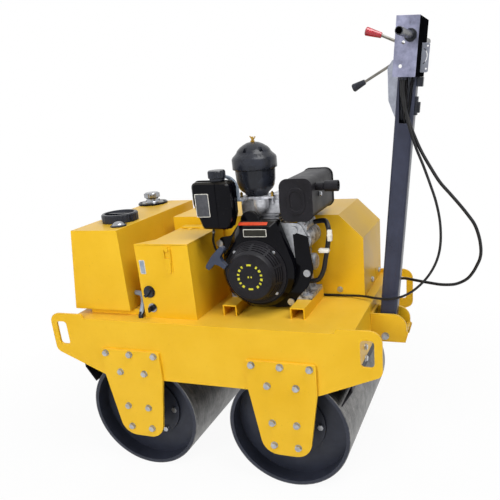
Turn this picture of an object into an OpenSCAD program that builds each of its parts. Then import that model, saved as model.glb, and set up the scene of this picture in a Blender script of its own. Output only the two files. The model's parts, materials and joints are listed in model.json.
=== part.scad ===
// Walk-behind double drum vibratory roller with a diesel engine and a fold-down handle.
// X runs towards the handle, Y away from the engine's starter side, Z up from the ground.
// All lengths are in millimetres and all angles in degrees.

/* [Drums] */
// Outer diameter of each drum
drum_d = 426; // [350:1:470]
// Length of each drum across the machine
drum_l = 610; // [500:1:740]
// Distance between the two drum axles
wheelbase = 560; // [465:1:680]
// Wall of the drum shell
shell_t = 14; // [8:1:20]
// How far the end discs lie inside the shell's rim
disc_recess = 60; // [45:1:80]
// Thickness of the end discs
disc_t = 12; // [8:1:16]
// Radius of the bolted hub flange on each end disc
hub_flange_r = 116; // [100:1:125]
// Diameter of the stub axles
axle_d = 50; // [40:1:60]

/* [Chassis] */
// Height of the deck's upper face
deck_z = 583; // [560:1:620]
// Reach of the deck beyond each axle
deck_over = 233; // [225:1:280]
// Reach of the side plates' ears beyond the deck
ear_l = 90; // [70:1:110]
// Depth of the side plates below the deck
plate_drop = 218; // [190:1:240]
// Rise of the four ears above the deck
ear_rise = 15; // [8:1:25]
// Thickness of deck and side plates
plate_t = 8; // [6:1:12]
// Gap between a drum's rim and the side plate
drum_gap = 8; // [5:1:14]
// Width of the lashing slot in each ear
slot_w = 42; // [30:1:50]
// Height of the lashing slot in each ear
slot_h = 88; // [60:1:100]

/* [Hangers] */
// Width of a hanger plate at the chassis
hanger_w = 236; // [200:1:260]
// Thickness of a hanger plate
hanger_t = 10; // [8:1:14]
// Radius of a hanger's rounded foot
hanger_r = 84; // [76:1:96]
// Square bolt pattern of the axle carriers
carrier_pitch = 85; // [70:1:104]

/* [Tanks] */
// Height of the tanks above their pedestal
tank_h = 286; // [240:1:320]
// Length of the tanks at their foot
tank_l = 233; // [200:1:260]
// Lean of the tanks' front wall
tank_rake = 46; // [20:1:60]
// Wall of the tanks
tank_t = 3; // [2:0.5:5]
// Diameter of the water filler cap
cap_d = 130; // [100:1:156]

/* [Control box] */
// Length of the control box
box_l = 201; // [165:1:245]
// Height of the control box above the deck
box_h = 260; // [200:1:280]
// Wall of the control box
box_t = 3; // [2:0.5:4]

/* [Engine] */
// Height of the engine rails
rail_h = 38; // [30:1:45]
// Width of an engine rail
rail_w = 50; // [40:1:60]
// Distance between the engine rails' centres
rail_pitch = 239; // [200:1:260]
// Height of the crankshaft above the rails
crank_h = 108; // [100:1:120]
// Diameter of the fan housing
fan_d = 224; // [210:1:232]
// Diameter of the recoil starter cover
recoil_d = 158; // [140:1:164]
// Rings of cooling slots round the recoil cover
louvre_rings = 4; // [2:1:4]
// Radial bars that cross the cooling slots
louvre_bars = 10; // [6:1:14]
// Diameter of the air cleaner's lid
cleaner_d = 146; // [130:1:160]
// Number of cooling fins on the cylinder
fin_count = 7; // [4:1:9]
// Width of the muffler
muffler_w = 107; // [90:1:112]
// Length of the muffler
muffler_l = 255; // [220:1:270]

/* [Belt cover] */
// Height of the belt cover above the deck
cover_h = 289; // [220:1:320]
// Wall of the belt cover
cover_t = 3; // [2:0.5:4]

/* [Handle] */
// Side of the square handle column
column_w = 55; // [45:1:70]
// Length of the column from its pivot to the control head
column_l = 812; // [700:1:950]
// Lean of the stowed handle from the vertical
handle_lean = 5; // [0:1:8]
// How far the handle folds down to its stop from there
handle_fold = 40; // [30:1:50]
// Width of the control head along the machine
head_w = 64; // [58:1:80]
// Depth of the control head across the machine
head_d = 190; // [150:1:220]
// Height of the control head
head_h = 155; // [130:1:180]
// Length of each grip tube beside the head
grip_l = 200; // [120:1:230]
// Diameter of the grip tubes
grip_d = 20; // [18:1:30]

/* [Hidden] */
$fn = 48;

yellow = "#E0A81E";
black = "#1C1C1E";
steel = "#9A9DA0";
slate = "#3A3F4E";
silver = "#B9BCC2";

// Drum and axle places: X runs from the middle between the drums, Z from the ground
axle_z = drum_d / 2;
axle_x = wheelbase / 2;
deck_l = wheelbase + 2 * deck_over;
plate_l = deck_l + 2 * ear_l;
in_y = drum_l / 2 + drum_gap;
out_y = in_y + plate_t;
hanger_y = out_y + hanger_t;
hub_clear = 0.05;
fit_gap = 0.3;
move_gap = 5;
carrier_d = carrier_pitch + 18;

// Chassis outline
low_z = deck_z - plate_drop;
ear_z = deck_z + ear_rise;
ear_x = deck_l / 2 - 55;
slope_x = axle_x + hanger_w / 2;
slope_z = low_z + 87;
slot_x = (deck_l + plate_l) / 4;
slot_z = ear_z - 31 - slot_h;
panel_x = (deck_l - plate_t) / 2;
panel_z = deck_z - 154;
gland_y = 200;
gland_z = 540;
gland_l = 9;
gland_d = 20;
scraper_t = 5;
scraper_gap = 6;
scraper_at = 32;
scraper_slope = 58;

// Hanger outline around its axle: x, z and corner radius
hanger_top = deck_z - 107;
knee_z = low_z + 7;
hanger_outline = [
    [-hanger_w / 2, hanger_top - axle_z, 5], [hanger_w / 2, hanger_top - axle_z, 5],
    [hanger_w / 2, knee_z - axle_z, 12], [hanger_r - 4, -hanger_r + 4, 58],
    [-hanger_r + 4, -hanger_r + 4, 58], [-hanger_w / 2, knee_z - axle_z, 12]
];
// Bolts of a hanger: x and z from its axle
top_bolt_z = hanger_top - axle_z - 14;
row_bolt_z = top_bolt_z - 70;
hanger_bolts = concat(
    [for (i = [-1:1]) [i * (hanger_w / 2 - 20), top_bolt_z]],
    [for (i = [-1, 1]) [i * (hanger_w / 4 - 10), row_bolt_z]],
    [for (i = [-1, 1], k = [-1, 1]) [i, k] * carrier_pitch / 2]
);
bolt_d = 12;
bolt_head = 19 / cos(30);

// Tanks
tank_y = in_y - 38;
tank_x = -deck_l / 2 - 4 + tank_l;
tank_z = deck_z + 20;
tank_top = tank_z + tank_h;
tank_split = 23;
foot_back = 52;
foot_front = 45;
cap_x = tank_x - 86;
cap_y = 7 - (tank_y - tank_split) / 2;
cap_h = 30;
cap_ring = 12;
vent_x = tank_x - 34;
vent_y = cap_y - cap_d / 2 - 25;
breather_x = tank_x - 150;
breather_y = tank_y - 63;
drain_d = 18;

// Control box, whose front left corner is cut
cover_y = 17;
box_x = tank_x + 59;
box_y = 39 - in_y;
box_d = cover_y - 21 - box_y;
box_cut = [48, 64];
box_top = deck_z + box_h;
hinge_back = 43;
lid_d = box_d - hinge_back;
hinge_y = box_y + lid_d;
hinge_rise = 6;
hinge_d = 6;
hinge_z = box_top + hinge_d / 2 + fit_gap;
hinge_x = box_x + 66;
knuckle_l = 22;
leaf_l = 14;
leaf_t = 2;
box_plan = [
    [box_x, box_y], [box_x + box_l, box_y], [box_x + box_l, box_y + box_d],
    [box_x + box_cut.x, box_y + box_d], [box_x + box_cut.x, box_y + box_cut.y]
];
latch_x = box_x + 124;
knob_x = box_x + 32;
knob_z = deck_z + 95;
knob_d = 42;
key_x = box_x + 36;
key_z = deck_z + 38;
key_d = 32;

// Engine: its faces from the starter side to the back, and its heights
engine_x = box_x + box_l + 194;
mount_x = engine_x + 23;
rail_l = 225;
rail_y = cover_y - 12 - rail_l;
rail_t = 5;
base_z = deck_z + rail_h;
crank_z = base_z + crank_h;
shroud_y = -190;
shoulder_y = shroud_y + 17;
flange_y = shroud_y + 50;
flange_t = 4;
block_y = flange_y + flange_t;
block_back = -10;
block_w = 230;
block_h = 190;
foot_l = 290;
foot_h = 14;
head_y = -108;
head_z = base_z + 204;
head_low = head_z + 80;
head_top = base_z + 341;
arch_r = 50;
arch_y = -158;
stem_l = 46;
ring_r = fan_d / 2;
shoulder = 14;
bolt_ring_r = 96;
recoil_h = 55;
recoil_wall = 3;
louvre_w = 5;
louvre_pitch = 9.5;
bar_w = 7;
starter = [142, 93];
solenoid = [148, 137];
cleaner_x = engine_x - 16;
cleaner_y = -80;
muffler_x = engine_x + 91;
muffler_y = -165;
muffler_z = crank_z + 159;
muffler_h = 133;
seam = 3;

// Flange of the fan housing with its four ears, from the crankshaft: x, z and corner radius
flange_outline = [
    [-56, 164, 12], [42, 164, 12], [92, 151, 14], [146, 149, 24], [167, 104, 40], [180, -6, 30],
    [160, -60, 34], [116, -104, 6], [110, -133, 13], [84, -134, 8], [42, -137, 30], [-62, -137, 20],
    [-68, -106, 8], [-118, -100, 30], [-130, -60, 40],
    [-134, 56, 20], [-156, 70, 12], [-140, 104, 12], [-100, 110, 16]
];
ear_bolts = [[124, 128], [159, -14], [97, -115], [-142, 84]];

// Fuel tank's face, its depth and its filler
fuel_outline = [
    [-182, 299, 16], [-182, 231, 40], [-156, 151, 14], [-66, 149, 12], [-50, 196, 24], [-50, 297, 18]
];
fuel_y = -225;
fuel_depth = 55;
fuel_top = crank_z + 299;
fuel_bevel = 6;
filler_x = engine_x - 97;
filler_y = -201;
neck_h = 3;

// Belt cover
cover_x = tank_x + 51;
cover_right = deck_l / 2 - 32;
cover_top = deck_z + cover_h;
cover_slope = [82, 80];
cover_lip = 14;

// Handle: the pivot's place, and lengths along the column from the pivot
pivot_x = deck_l / 2 + 49;
pivot_z = deck_z - 113;
bracket_gap = column_w + 21;
bracket_t = 10;
bracket_up = 78;
bracket_down = 21;
pivot_d = 16;
boss_d = 32;
stop_d = 14;
stop_s = 56;
column_t = 4;
head_t = 4;
grip_s = column_l + 106;
grip_u = 10;
lever_d = 8;
shaft_d = 10;
shaft_u = head_w / 2 - 18;
shaft_s = column_l + 73;
quad_w = 22;
quad_s = column_l + 12;
quad_h = 78;
quad_r = 5;

// The part's origin is on the ground, in the middle of its length without the cables
front_reach = plate_l / 2;
quad_out = head_w / 2 + quad_w - quad_r;
quad_top = quad_s + quad_h - quad_r;
rear_reach = pivot_x + quad_out * cos(handle_lean) + quad_top * sin(handle_lean) + quad_r;
mid_x = (front_reach - rear_reach) / 2;

// Water drain from the tank's right wall down to the deck, from the wall's near foot
drain_route = [
    for (p = [
        [0.5, 50, 52], [12, 50, 52], [24, 48, 50], [35, 40, 43], [43, 26, 31], [46, 12, 14], [45, 2, -2],
        [44, -5, -12], [44, -5, -19.5]
    ]) p + [tank_x, -tank_y, tank_z]
];

// Free cable routes from the control head to the chassis, as the machine stands parked
cable_d = 10;
drive_route = [
    [620, -43, 1271], [619, -43, 1251], [621, -44, 1228], [629, -45, 1195], [643, -47, 1150], [658, -48, 1112],
    [677, -48, 1070], [703, -48, 1024], [731, -46, 979], [761, -43, 943], [790, -40, 908], [814, -35, 876],
    [834, -30, 845], [848, -21, 803], [854, -10, 762], [852, -2, 733], [844, 5, 709], [833, 12, 684],
    [818, 20, 661], [799, 28, 645], [777, 35, 634], [753, 45, 628], [728, 55, 625], [702, 68, 624],
    [676, 80, 624], [652, 95, 623], [628, 110, 622], [605, 130, 619], [584, 150, 612], [567, 168, 600],
    [556, 182, 582], [548, 192, 562], [540, 198, 547], [532, 200, 541], [522, 200, 540]
];
throttle_d = 8;
throttle_route = [
    [628, -60, 1270], [626, -60, 1250], [628, -60, 1225], [633, -60, 1190], [644, -61, 1140], [662, -60, 1085],
    [684, -58, 1030], [704, -56, 975], [722, -54, 920], [734, -52, 860], [737, -52, 800], [730, -52, 750],
    [712, -53, 705], [684, -54, 665], [648, -55, 632], [610, -54, 612], [570, -50, 603], [530, -36, 600],
    [490, -14, 597], [455, 2, 593], [415, 9, 590], [375, 12, 589], [320, 12, 589], [270, 12, 590],
    [248, 12, 597], [238, 12, 612], [234, 11, 632], [233, 6, 652], [233, -2, 664], [233, -9, 667]
];

// Wiring on the engine's right side, and the fuel hose from the tank to the injection pump,
// both from the crankshaft
loom_d = 16;
loom_route = [
    for (p = [
        [167.3, -60, 137], [182, -61, 139], [198, -68, 143], [214, -84, 143], [224, -98, 129],
        [227, -101, 107], [221, -102, 69], [213, -103, 28], [204, -104, -13], [188, -106, -43],
        [166, -107, -51], [139, -107, -52]
    ]) p + [engine_x, 0, crank_z]
];
hose_d = 8;
hose_route = [
    for (p = [
        [-138, -186, 149.5], [-139, -186, 132], [-149, -176, 102], [-153, -160, 72], [-152, -146, 44],
        [-150, -134, 18], [-143, -124, -10], [-128, -118, -30], [-108, -116, -38], [-93, -116, -39]
    ]) p + [engine_x, 0, crank_z]
];

// ---------- helpers ----------

module on_machine() translate([mid_x, 0, 0]) children();
module on_handle() on_machine() translate([pivot_x, 0, pivot_z]) rotate([0, handle_lean, 0]) children();
// A flat shape drawn in X and Z, with its face at y and its thickness t behind it
module upright(y, t) translate([0, y + t, 0]) rotate([90, 0, 0]) linear_extrude(t) children();
module along_y(y, l, d) translate([0, y, 0]) rotate([-90, 0, 0]) cylinder(h = l, d = d);
module for_sides() for (s = [0, 1]) mirror([0, s, 0]) children();
module far_side(far) mirror([0, far ? 1 : 0, 0]) children();

// Corner k of a closed outline of [x, y, radius] points, as an arc of n steps
function unit(v) = v / norm(v);
function corner_arc(a, p, b, r, n) =
    let (
        u = unit([a.x - p.x, a.y - p.y]),
        v = unit([b.x - p.x, b.y - p.y]),
        half = acos(u * v) / 2,
        w = unit(u + v),
        c = [p.x, p.y] + w * r / sin(half),
        s = [p.x, p.y] + u * r / tan(half),
        e = [p.x, p.y] + v * r / tan(half),
        a0 = atan2(s.y - c.y, s.x - c.x),
        a1 = atan2(e.y - c.y, e.x - c.x),
        turn = a1 - a0 > 180 ? a1 - a0 - 360 : (a1 - a0 < -180 ? a1 - a0 + 360 : a1 - a0)
    )
    [for (i = [0:n]) c + r * [cos(a0 + turn * i / n), sin(a0 + turn * i / n)]];
function rounded(pts, n = 6) = [
    for (i = [0:len(pts) - 1])
        let (p = pts[i], a = pts[(i + len(pts) - 1) % len(pts)], b = pts[(i + 1) % len(pts)])
            each p.z > 0 ? corner_arc(a, p, b, p.z, n) : [[p.x, p.y]]
];
function box_outline(x0, y0, x1, y1, r) = [[x0, y0, r], [x1, y0, r], [x1, y1, r], [x0, y1, r]];

// A convex outline, drawn anticlockwise, moved inwards by t
function inward(a, b) = let (d = unit(b - a)) [-d.y, d.x];
function inset(pts, t) = [
    for (i = [0:len(pts) - 1])
        let (
            p = pts[i],
            m = inward(pts[(i + len(pts) - 1) % len(pts)], p),
            n = inward(p, pts[(i + 1) % len(pts)])
        )
        p + t * (m + n) / (1 + m * n)
];
// The same for an outline with corner radii
function inset_round(pts, t) =
    let (q = inset([for (p = pts) [p.x, p.y]], t))
    [for (i = [0:len(q) - 1]) [q[i].x, q[i].y, max(pts[i].z - t, 1)]];

// A hexagon bolt head with its washer, standing on a face that looks to -Y
module bolt_at(x, y, z, d = bolt_d) translate([x, y, z]) rotate([90, 0, 0]) {
    cylinder(h = d * 0.2, d = d * 2);
    cylinder(h = d * 0.85, d = d * bolt_head / bolt_d, $fn = 6);
}

// A tube swept along a route of points, as one closed mesh of ring by ring quads
function route_dir(p, i) = unit(p[min(i + 1, len(p) - 1)] - p[max(i - 1, 0)]);
function ring(c, dir, r, n) =
    let (a = unit(cross(dir, abs(dir.y) < 0.9 ? [0, 1, 0] : [1, 0, 0])), b = cross(dir, a))
    [for (k = [0:n - 1]) c + r * (a * cos(360 * k / n) + b * sin(360 * k / n))];
module tube(route, d, n = 8) {
    rings = [for (i = [0:len(route) - 1]) each ring(route[i], route_dir(route, i), d / 2, n)];
    last = (len(route) - 1) * n;
    sides = [
        for (i = [0:len(route) - 2], k = [0:n - 1])
            let (a = i * n + k, b = i * n + (k + 1) % n)
            [a, b, b + n, a + n]
    ];
    ends = [[for (k = [n - 1:-1:0]) k], [for (k = [0:n - 1]) last + k]];
    polyhedron(points = rings, faces = concat(sides, ends), convexity = 6);
}

// ---------- chassis ----------

module deck() color(yellow) on_machine()
    translate([-deck_l / 2, -in_y, deck_z - plate_t]) cube([deck_l, 2 * in_y, plate_t]);

module side_outline() {
    half = [
        [ear_x, deck_z, 2], [ear_x + 8, ear_z, 4], [plate_l / 2, ear_z, 38],
        [plate_l / 2, slope_z, 26], [slope_x, low_z, 10]
    ];
    left = [for (i = [len(half) - 1:-1:0]) [-half[i].x, half[i].y, half[i].z]];
    difference() {
        polygon(rounded(concat(half, left)));
        for (s = [-1, 1]) {
            x = s * slot_x;
            polygon(rounded(box_outline(x - slot_w / 2, slot_z, x + slot_w / 2, slot_z + slot_h, 12)));
        }
    }
}
module side_plate(far) color(yellow) on_machine() far_side(far) upright(-out_y, plate_t) side_outline();
module side_plate_near() side_plate(false);
module side_plate_far() side_plate(true);

// The panels under the deck's ends, and the gland of the drive cable on the handle's one
module end_panels() color(yellow) on_machine() {
    for (s = [-1, 1]) translate([s * panel_x - plate_t / 2, -in_y, panel_z])
        cube([plate_t, 2 * in_y, deck_z - plate_t - panel_z]);
    translate([panel_x + plate_t / 2, gland_y, gland_z]) rotate([0, 90, 0]) {
        cylinder(h = 4, d = gland_d + 8, $fn = 6);
        cylinder(h = gland_l - fit_gap, d = gland_d);
    }
}

module hangers() color(yellow) on_machine()
    for (s = [-1, 1]) for_sides() translate([s * axle_x, 0, axle_z]) {
        upright(-hanger_y, hanger_t) polygon(rounded(hanger_outline));
        for (b = hanger_bolts) bolt_at(b.x, -hanger_y, b.y);
    }

// Four bearing housings on the hangers' inner faces, each with its stub axle
module axle_carriers() color(steel) on_machine()
    for (s = [-1, 1]) for_sides() translate([s * axle_x, 0, axle_z]) {
        disc_y = drum_l / 2 - disc_recess;
        along_y(-out_y, out_y - disc_y - fit_gap, carrier_d);
        along_y(-out_y, out_y - disc_y + disc_t + 10, axle_d);
    }

// A bent strip bolted inside each end panel, with its edge just off the drum
module scrapers() color(black) on_machine() for (s = [0, 1]) mirror([s, 0, 0]) {
    tip = [axle_x, axle_z] + (drum_d / 2 + scraper_gap) * [cos(scraper_at), sin(scraper_at)];
    back = panel_x - plate_t / 2;
    bend = [back - scraper_t, tip.y + (back - scraper_t - tip.x) * tan(scraper_slope)];
    across = scraper_t * [sin(scraper_slope), -cos(scraper_slope)];
    upright(-drum_l / 2, drum_l) polygon([
        tip, tip + across, [back, bend.y - scraper_t / tan(45 + scraper_slope / 2)],
        [back, panel_z + 40], [back - scraper_t, panel_z + 40], bend
    ]);
}

// ---------- drums ----------

module drum(x) color(black) on_machine() translate([x, 0, axle_z]) rotate([-90, 0, 0]) {
    difference() {
        cylinder(h = drum_l, d = drum_d, center = true, $fn = 96);
        cylinder(h = drum_l + 2, d = drum_d - 2 * shell_t, center = true, $fn = 96);
    }
    for (s = [0, 1]) mirror([0, 0, s]) translate([0, 0, drum_l / 2 - disc_recess - disc_t]) difference() {
        union() {
            cylinder(h = disc_t, d = drum_d - 2 * shell_t, $fn = 96);
            translate([0, 0, disc_t]) cylinder(h = 10, r = hub_flange_r);
            for (k = [0:5]) rotate([0, 0, 60 * k]) translate([hub_flange_r - 16, 0, disc_t + 10])
                cylinder(h = 9, d = bolt_head, $fn = 6);
        }
        translate([0, 0, -1]) cylinder(h = disc_t + 30, d = axle_d + 2 * hub_clear);
        translate([0, 0, disc_t - fit_gap]) cylinder(h = 30, d = carrier_d + 2 * move_gap);
    }
}
module drum_front() drum(-axle_x);
module drum_rear() drum(axle_x);

// ---------- tanks ----------

module tank_profile(inset) {
    foot = tank_x - tank_l;
    polygon([
        [foot + inset, tank_z + inset], [tank_x - inset, tank_z + inset],
        [tank_x - inset, tank_top - inset],
        [foot + tank_rake + inset, tank_top - inset]
    ]);
}
module tank(y0, y1) color(yellow) on_machine() difference() {
    upright(y0, y1 - y0) tank_profile(0);
    upright(y0 + tank_t, y1 - y0 - 2 * tank_t) tank_profile(tank_t);
}
module water_tank() tank(-tank_y, tank_split);
module oil_tank() tank(tank_split, tank_y);

module tank_pedestal() color(yellow) on_machine()
    translate([tank_x - tank_l + foot_back, 20 - tank_y, deck_z])
        cube([tank_l - foot_back + foot_front, 2 * tank_y - 40, tank_z - deck_z]);

// Screw cap with a scalloped rim and a grip bar across its hollow top
module water_cap() color(black) on_machine() translate([cap_x, cap_y, tank_top]) {
    r = cap_d / 2;
    floor_z = cap_h - 10;
    difference() {
        rotate_extrude($fn = 96) polygon([
            [0, 0], [r - 2, 0], [r, 2], [r, cap_h - 4], [r - 4, cap_h], [r - cap_ring, cap_h],
            [r - cap_ring - 2, floor_z], [0, floor_z]
        ]);
        for (k = [0:23]) rotate(15 * k) translate([r + 2.5, 0, 5]) cylinder(h = cap_h, d = 8, $fn = 16);
    }
    translate([cap_ring - r, -5, floor_z]) cube([2 * (r - cap_ring), 10, 7]);
}
module tank_vent() color(silver) on_machine() translate([vent_x, vent_y, tank_top])
    rotate_extrude() polygon([
        [0, 0], [28, 0], [28, 4], [24, 6], [20, 7], [18, 11], [12, 15], [6, 17], [0, 17.5]
    ]);

// A bolted flange that carries the breather's neck and its lobed cap
module oil_breather() color(silver) on_machine() translate([breather_x, breather_y, tank_top]) {
    rotate_extrude() polygon([
        [0, 0], [60, 0], [60, 5], [57, 8], [26, 8], [24, 11], [23, 22], [27, 24], [29, 27], [29, 42],
        [26, 46], [0, 46]
    ]);
    for (k = [0:5]) rotate(60 * k + 30) {
        translate([48, 0, 8]) cylinder(h = 4, d = 10, $fn = 6);
        translate([28, 0, 26]) cylinder(h = 17, d = 8, $fn = 16);
    }
}
module drain_pipe() color(steel) on_machine() tube(drain_route, drain_d, 12);

// ---------- control box ----------

// Hinge knuckles of one leaf, taken in turn along the lid's rear edge
module knuckles(first) for (k = [first:2:4])
    translate([hinge_x + k * knuckle_l + fit_gap / 2, hinge_y, hinge_z]) rotate([0, 90, 0])
        cylinder(h = knuckle_l - fit_gap, d = hinge_d, $fn = 24);

module control_box() color(yellow) on_machine() {
    difference() {
        translate([0, 0, deck_z]) linear_extrude(box_h) polygon(box_plan);
        translate([0, 0, deck_z + box_t]) linear_extrude(box_h - 2 * box_t) polygon(inset(box_plan, box_t));
        translate([box_x - 1, box_y - 1, box_top - box_t - 1]) cube([box_l + 2, lid_d + 1, box_t + 2]);
    }
    strip_y = hinge_y + hinge_d / 2 + fit_gap;
    translate([box_x + 56, strip_y, box_top]) cube([box_l - 70, box_y + box_d - 8 - strip_y, hinge_rise]);
    knuckles(0);
    for (k = [0, 2, 4]) translate([hinge_x + k * knuckle_l + fit_gap / 2, hinge_y, box_top])
        cube([knuckle_l - fit_gap, hinge_d / 2 + 2 * fit_gap, hinge_d / 2]);
}
module box_lid() color(yellow) on_machine() {
    translate([0, 0, box_top - box_t]) intersection() {
        linear_extrude(box_t) polygon(box_plan);
        translate([box_x - 1, box_y - 1, -1]) cube([box_l + 2, lid_d + 1 - fit_gap, box_t + 2]);
    }
    knuckles(1);
    for (k = [1, 3]) translate([hinge_x + k * knuckle_l + fit_gap / 2, hinge_y - leaf_l, box_top])
        cube([knuckle_l - fit_gap, leaf_l - fit_gap, leaf_t]);
}

// Toggle latch: its base plate, the lever folded down, the wire loop and the hook plate
module box_latch() color(yellow) on_machine() translate([latch_x, box_y, box_top]) {
    upright(-2, 2) polygon(rounded(box_outline(-14, -98, 14, -28, 4)));
    upright(-8, 6) polygon(rounded([[-6, -96, 3], [6, -96, 3], [10, -80, 4], [10, -46, 3], [-10, -46, 3], [-10, -80, 4]]));
    upright(-6.5, 3) difference() {
        polygon(rounded(box_outline(-13, -62, 13, -12, 4)));
        polygon(rounded(box_outline(-9.5, -58.5, 9.5, -15.5, 2)));
    }
    upright(-3, 3) polygon(rounded(box_outline(-13, -24, 13, -6, 2)));
    upright(-8, 5) polygon(rounded(box_outline(-7, -22, 7, -8, 2)));
}

// The rotary switch with its pointer bar, and the key switch with its key
module box_switches() color(black) on_machine() {
    translate([knob_x, box_y, knob_z]) {
        along_y(-4, 4, knob_d);
        along_y(-9, 5, knob_d - 6);
        rotate([0, 40, 0]) translate([-5, -18, -knob_d / 2 + 3]) cube([10, 9, knob_d - 6]);
    }
    translate([key_x, box_y, key_z]) {
        along_y(-4, 4, key_d);
        along_y(-12, 8, key_d - 12);
        upright(-30, 18) polygon(rounded(box_outline(-2, -9, 2, 9, 1)));
    }
}

// ---------- engine ----------

module engine_rails() color(yellow) on_machine() for (s = [-1, 1]) {
    x = mount_x + s * rail_pitch / 2;
    upright(rail_y, rail_l) difference() {
        translate([x - rail_w / 2, deck_z]) square([rail_w, rail_h]);
        translate([x - rail_w / 2 + rail_t, deck_z - 1]) square([rail_w - 2 * rail_t, rail_h - rail_t + 1]);
    }
}

// Crankcase on its feet, with ribbed sides, oil filter, starter motor and the boss of the drive shaft
module engine_block() color(silver) on_machine() {
    depth = block_back - block_y;
    case_z = base_z + foot_h;
    side_x = mount_x + block_w / 2;
    translate([mount_x - foot_l / 2, block_y, base_z]) cube([foot_l, depth, foot_h]);
    translate([mount_x - block_w / 2, block_y, case_z]) cube([block_w, depth, block_h]);
    for (s = [-1, 1], k = [0:4]) translate([mount_x + s * (block_w / 2 + 4) - 4, block_y + 8 + 25 * k, case_z])
        cube([8, 4, 26]);
    for (s = [-1, 1], y = [block_y + 20, block_back - 20]) translate([mount_x + s * rail_pitch / 2, y, case_z])
        cylinder(h = 8, d = bolt_head, $fn = 6);
    translate([side_x, -70, crank_z + 6]) rotate([0, 90, 0]) {
        cylinder(h = 30, d = 56);
        translate([0, 0, 30]) cylinder(h = 6, d1 = 56, d2 = 44);
    }
    translate([engine_x + starter.x, 0, crank_z + starter.y]) along_y(block_y, depth - 12, 70);
    translate([engine_x + solenoid.x, 0, crank_z + solenoid.y]) along_y(block_y, depth - 26, 38);
    translate([engine_x + starter.x, 0, crank_z + starter.y]) along_y(block_y + depth - 12, 10, 40);
    translate([engine_x, 0, crank_z]) along_y(block_back, cover_y - block_back - fit_gap, 60);
}

// Finned barrel, head, rocker box, inlet elbow with its studs, and the arched pipe from the fuel tank
module cylinder_head() color(silver) on_machine() translate([engine_x, 0, 0]) {
    depth = block_back - head_y;
    fin_z = (head_low - head_z) / fin_count;
    translate([-44, head_y + 10, head_z]) cube([92, depth - 20, head_low - head_z]);
    for (k = [0:fin_count - 1]) translate([-60, head_y, head_z + (k + 0.4) * fin_z]) cube([124, depth, fin_z * 0.4]);
    translate([-64, head_y, head_low]) cube([132, depth, head_top - 14 - head_low]);
    translate([34, head_y + 6, head_top - 14]) cube([32, depth - 12, 16]);
    translate([-64, head_y - 14, head_top - 6]) cube([120, 74, 6]);
    translate([13, head_y - 14, head_top - 6]) rotate_extrude() polygon([
        [0, -45], [8, -45], [17, -38], [23, -26], [25, -12], [25, 0], [0, 0]
    ]);
    for (x = [50, -58]) translate([x, head_y - 6, head_top - 24]) {
        cylinder(h = 40, d = 6, $fn = 16);
        for (z = [24, 31]) translate([0, 0, z]) cylinder(h = 5, d = 12, $fn = 6);
    }
    translate([-98, arch_y, head_top + 28]) {
        rotate([90, 0, 0]) rotate_extrude(angle = 90) translate([arch_r - 8, -7]) square([8, 14]);
        translate([arch_r - 8, -7, -34]) cube([8, 14, 34]);
        translate([-12, fuel_y + fuel_depth - arch_y, arch_r - 30]) cube([12.5, arch_y - fuel_y - fuel_depth + 7, 30]);
    }
    translate([arch_r - 106, arch_y - 7, head_top - 6]) cube([24, head_y - arch_y + 7, 6]);
}

// Fan housing: a ring and a duct in one tapered cover, on a flange with four bolted ears
module housing_face(r, left, right, top) translate([engine_x, crank_z]) {
    circle(r = r, $fn = 44);
    polygon(rounded([[left, top, 8], [right, top, 8], [right, 60, 0], [left, 60, 0]]));
}
module fan_shroud() color(black) on_machine() difference() {
    union() {
        hull() {
            upright(shroud_y, 1) housing_face(ring_r, -36, 62, 151);
            upright(shoulder_y, 1) housing_face(ring_r + shoulder, -50, 78, 164);
        }
        upright(shoulder_y, flange_y - shoulder_y + 1) hull() housing_face(ring_r + shoulder, -50, 78, 164);
        upright(flange_y, flange_t) translate([engine_x, crank_z]) polygon(rounded(flange_outline));
        for (b = ear_bolts) translate([engine_x + b.x, 0, crank_z + b.y]) along_y(flange_y - 6, 6, 24);
        translate([engine_x - 16, 0, crank_z + 164]) along_y(shoulder_y + 6, 17, 62);
    }
    translate([engine_x, 0, crank_z]) along_y(shroud_y - 1, 31, recoil_d + 14);
}

// Recoil starter cover: a turned shell whose slanted wall has rings of cooling slots between bars
module recoil_shell() {
    r = recoil_d / 2;
    t = recoil_wall;
    rotate_extrude($fn = 96) polygon([
        [r + 18, 0], [r + 27, 0], [r + 27, 4], [r + 18, 4], [r + 3, 42], [r, recoil_h - 5], [r - 4, recoil_h],
        [0, recoil_h], [0, recoil_h - t], [r - 6, recoil_h - t], [r - t, recoil_h - 7], [r - t, 42], [r + 13, 0]
    ]);
}
module recoil_cover() color(black) on_machine() translate([engine_x, shroud_y, crank_z]) rotate([90, 0, 0]) {
    difference() {
        recoil_shell();
        for (i = [0:louvre_rings - 1]) translate([0, 0, 6 + i * louvre_pitch]) linear_extrude(louvre_w) difference() {
            circle(r = recoil_d / 2 + 30);
            circle(r = recoil_d / 2 - 16);
            for (k = [0:louvre_bars - 1]) rotate(k * 360 / louvre_bars + 18) translate([0, -bar_w / 2])
                square([recoil_d, bar_w]);
        }
    }
}

// Pull handle: a bowed crossbar with a stem that leads to the cover
module recoil_grip() color("#4A5568") on_machine()
    translate([engine_x - 120, shroud_y - 40, crank_z + 58]) rotate([0, 42, 0]) {
        upright(-10, 20) polygon(rounded([
            [-9, -48, 8], [8, -48, 6], [11, -16, 6], [26, -9, 6], [stem_l, -7, 0], [stem_l, 7, 0], [26, 9, 6],
            [11, 16, 6], [8, 48, 6], [-9, 48, 8], [-14, 0, 60]
        ]));
    }

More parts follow.
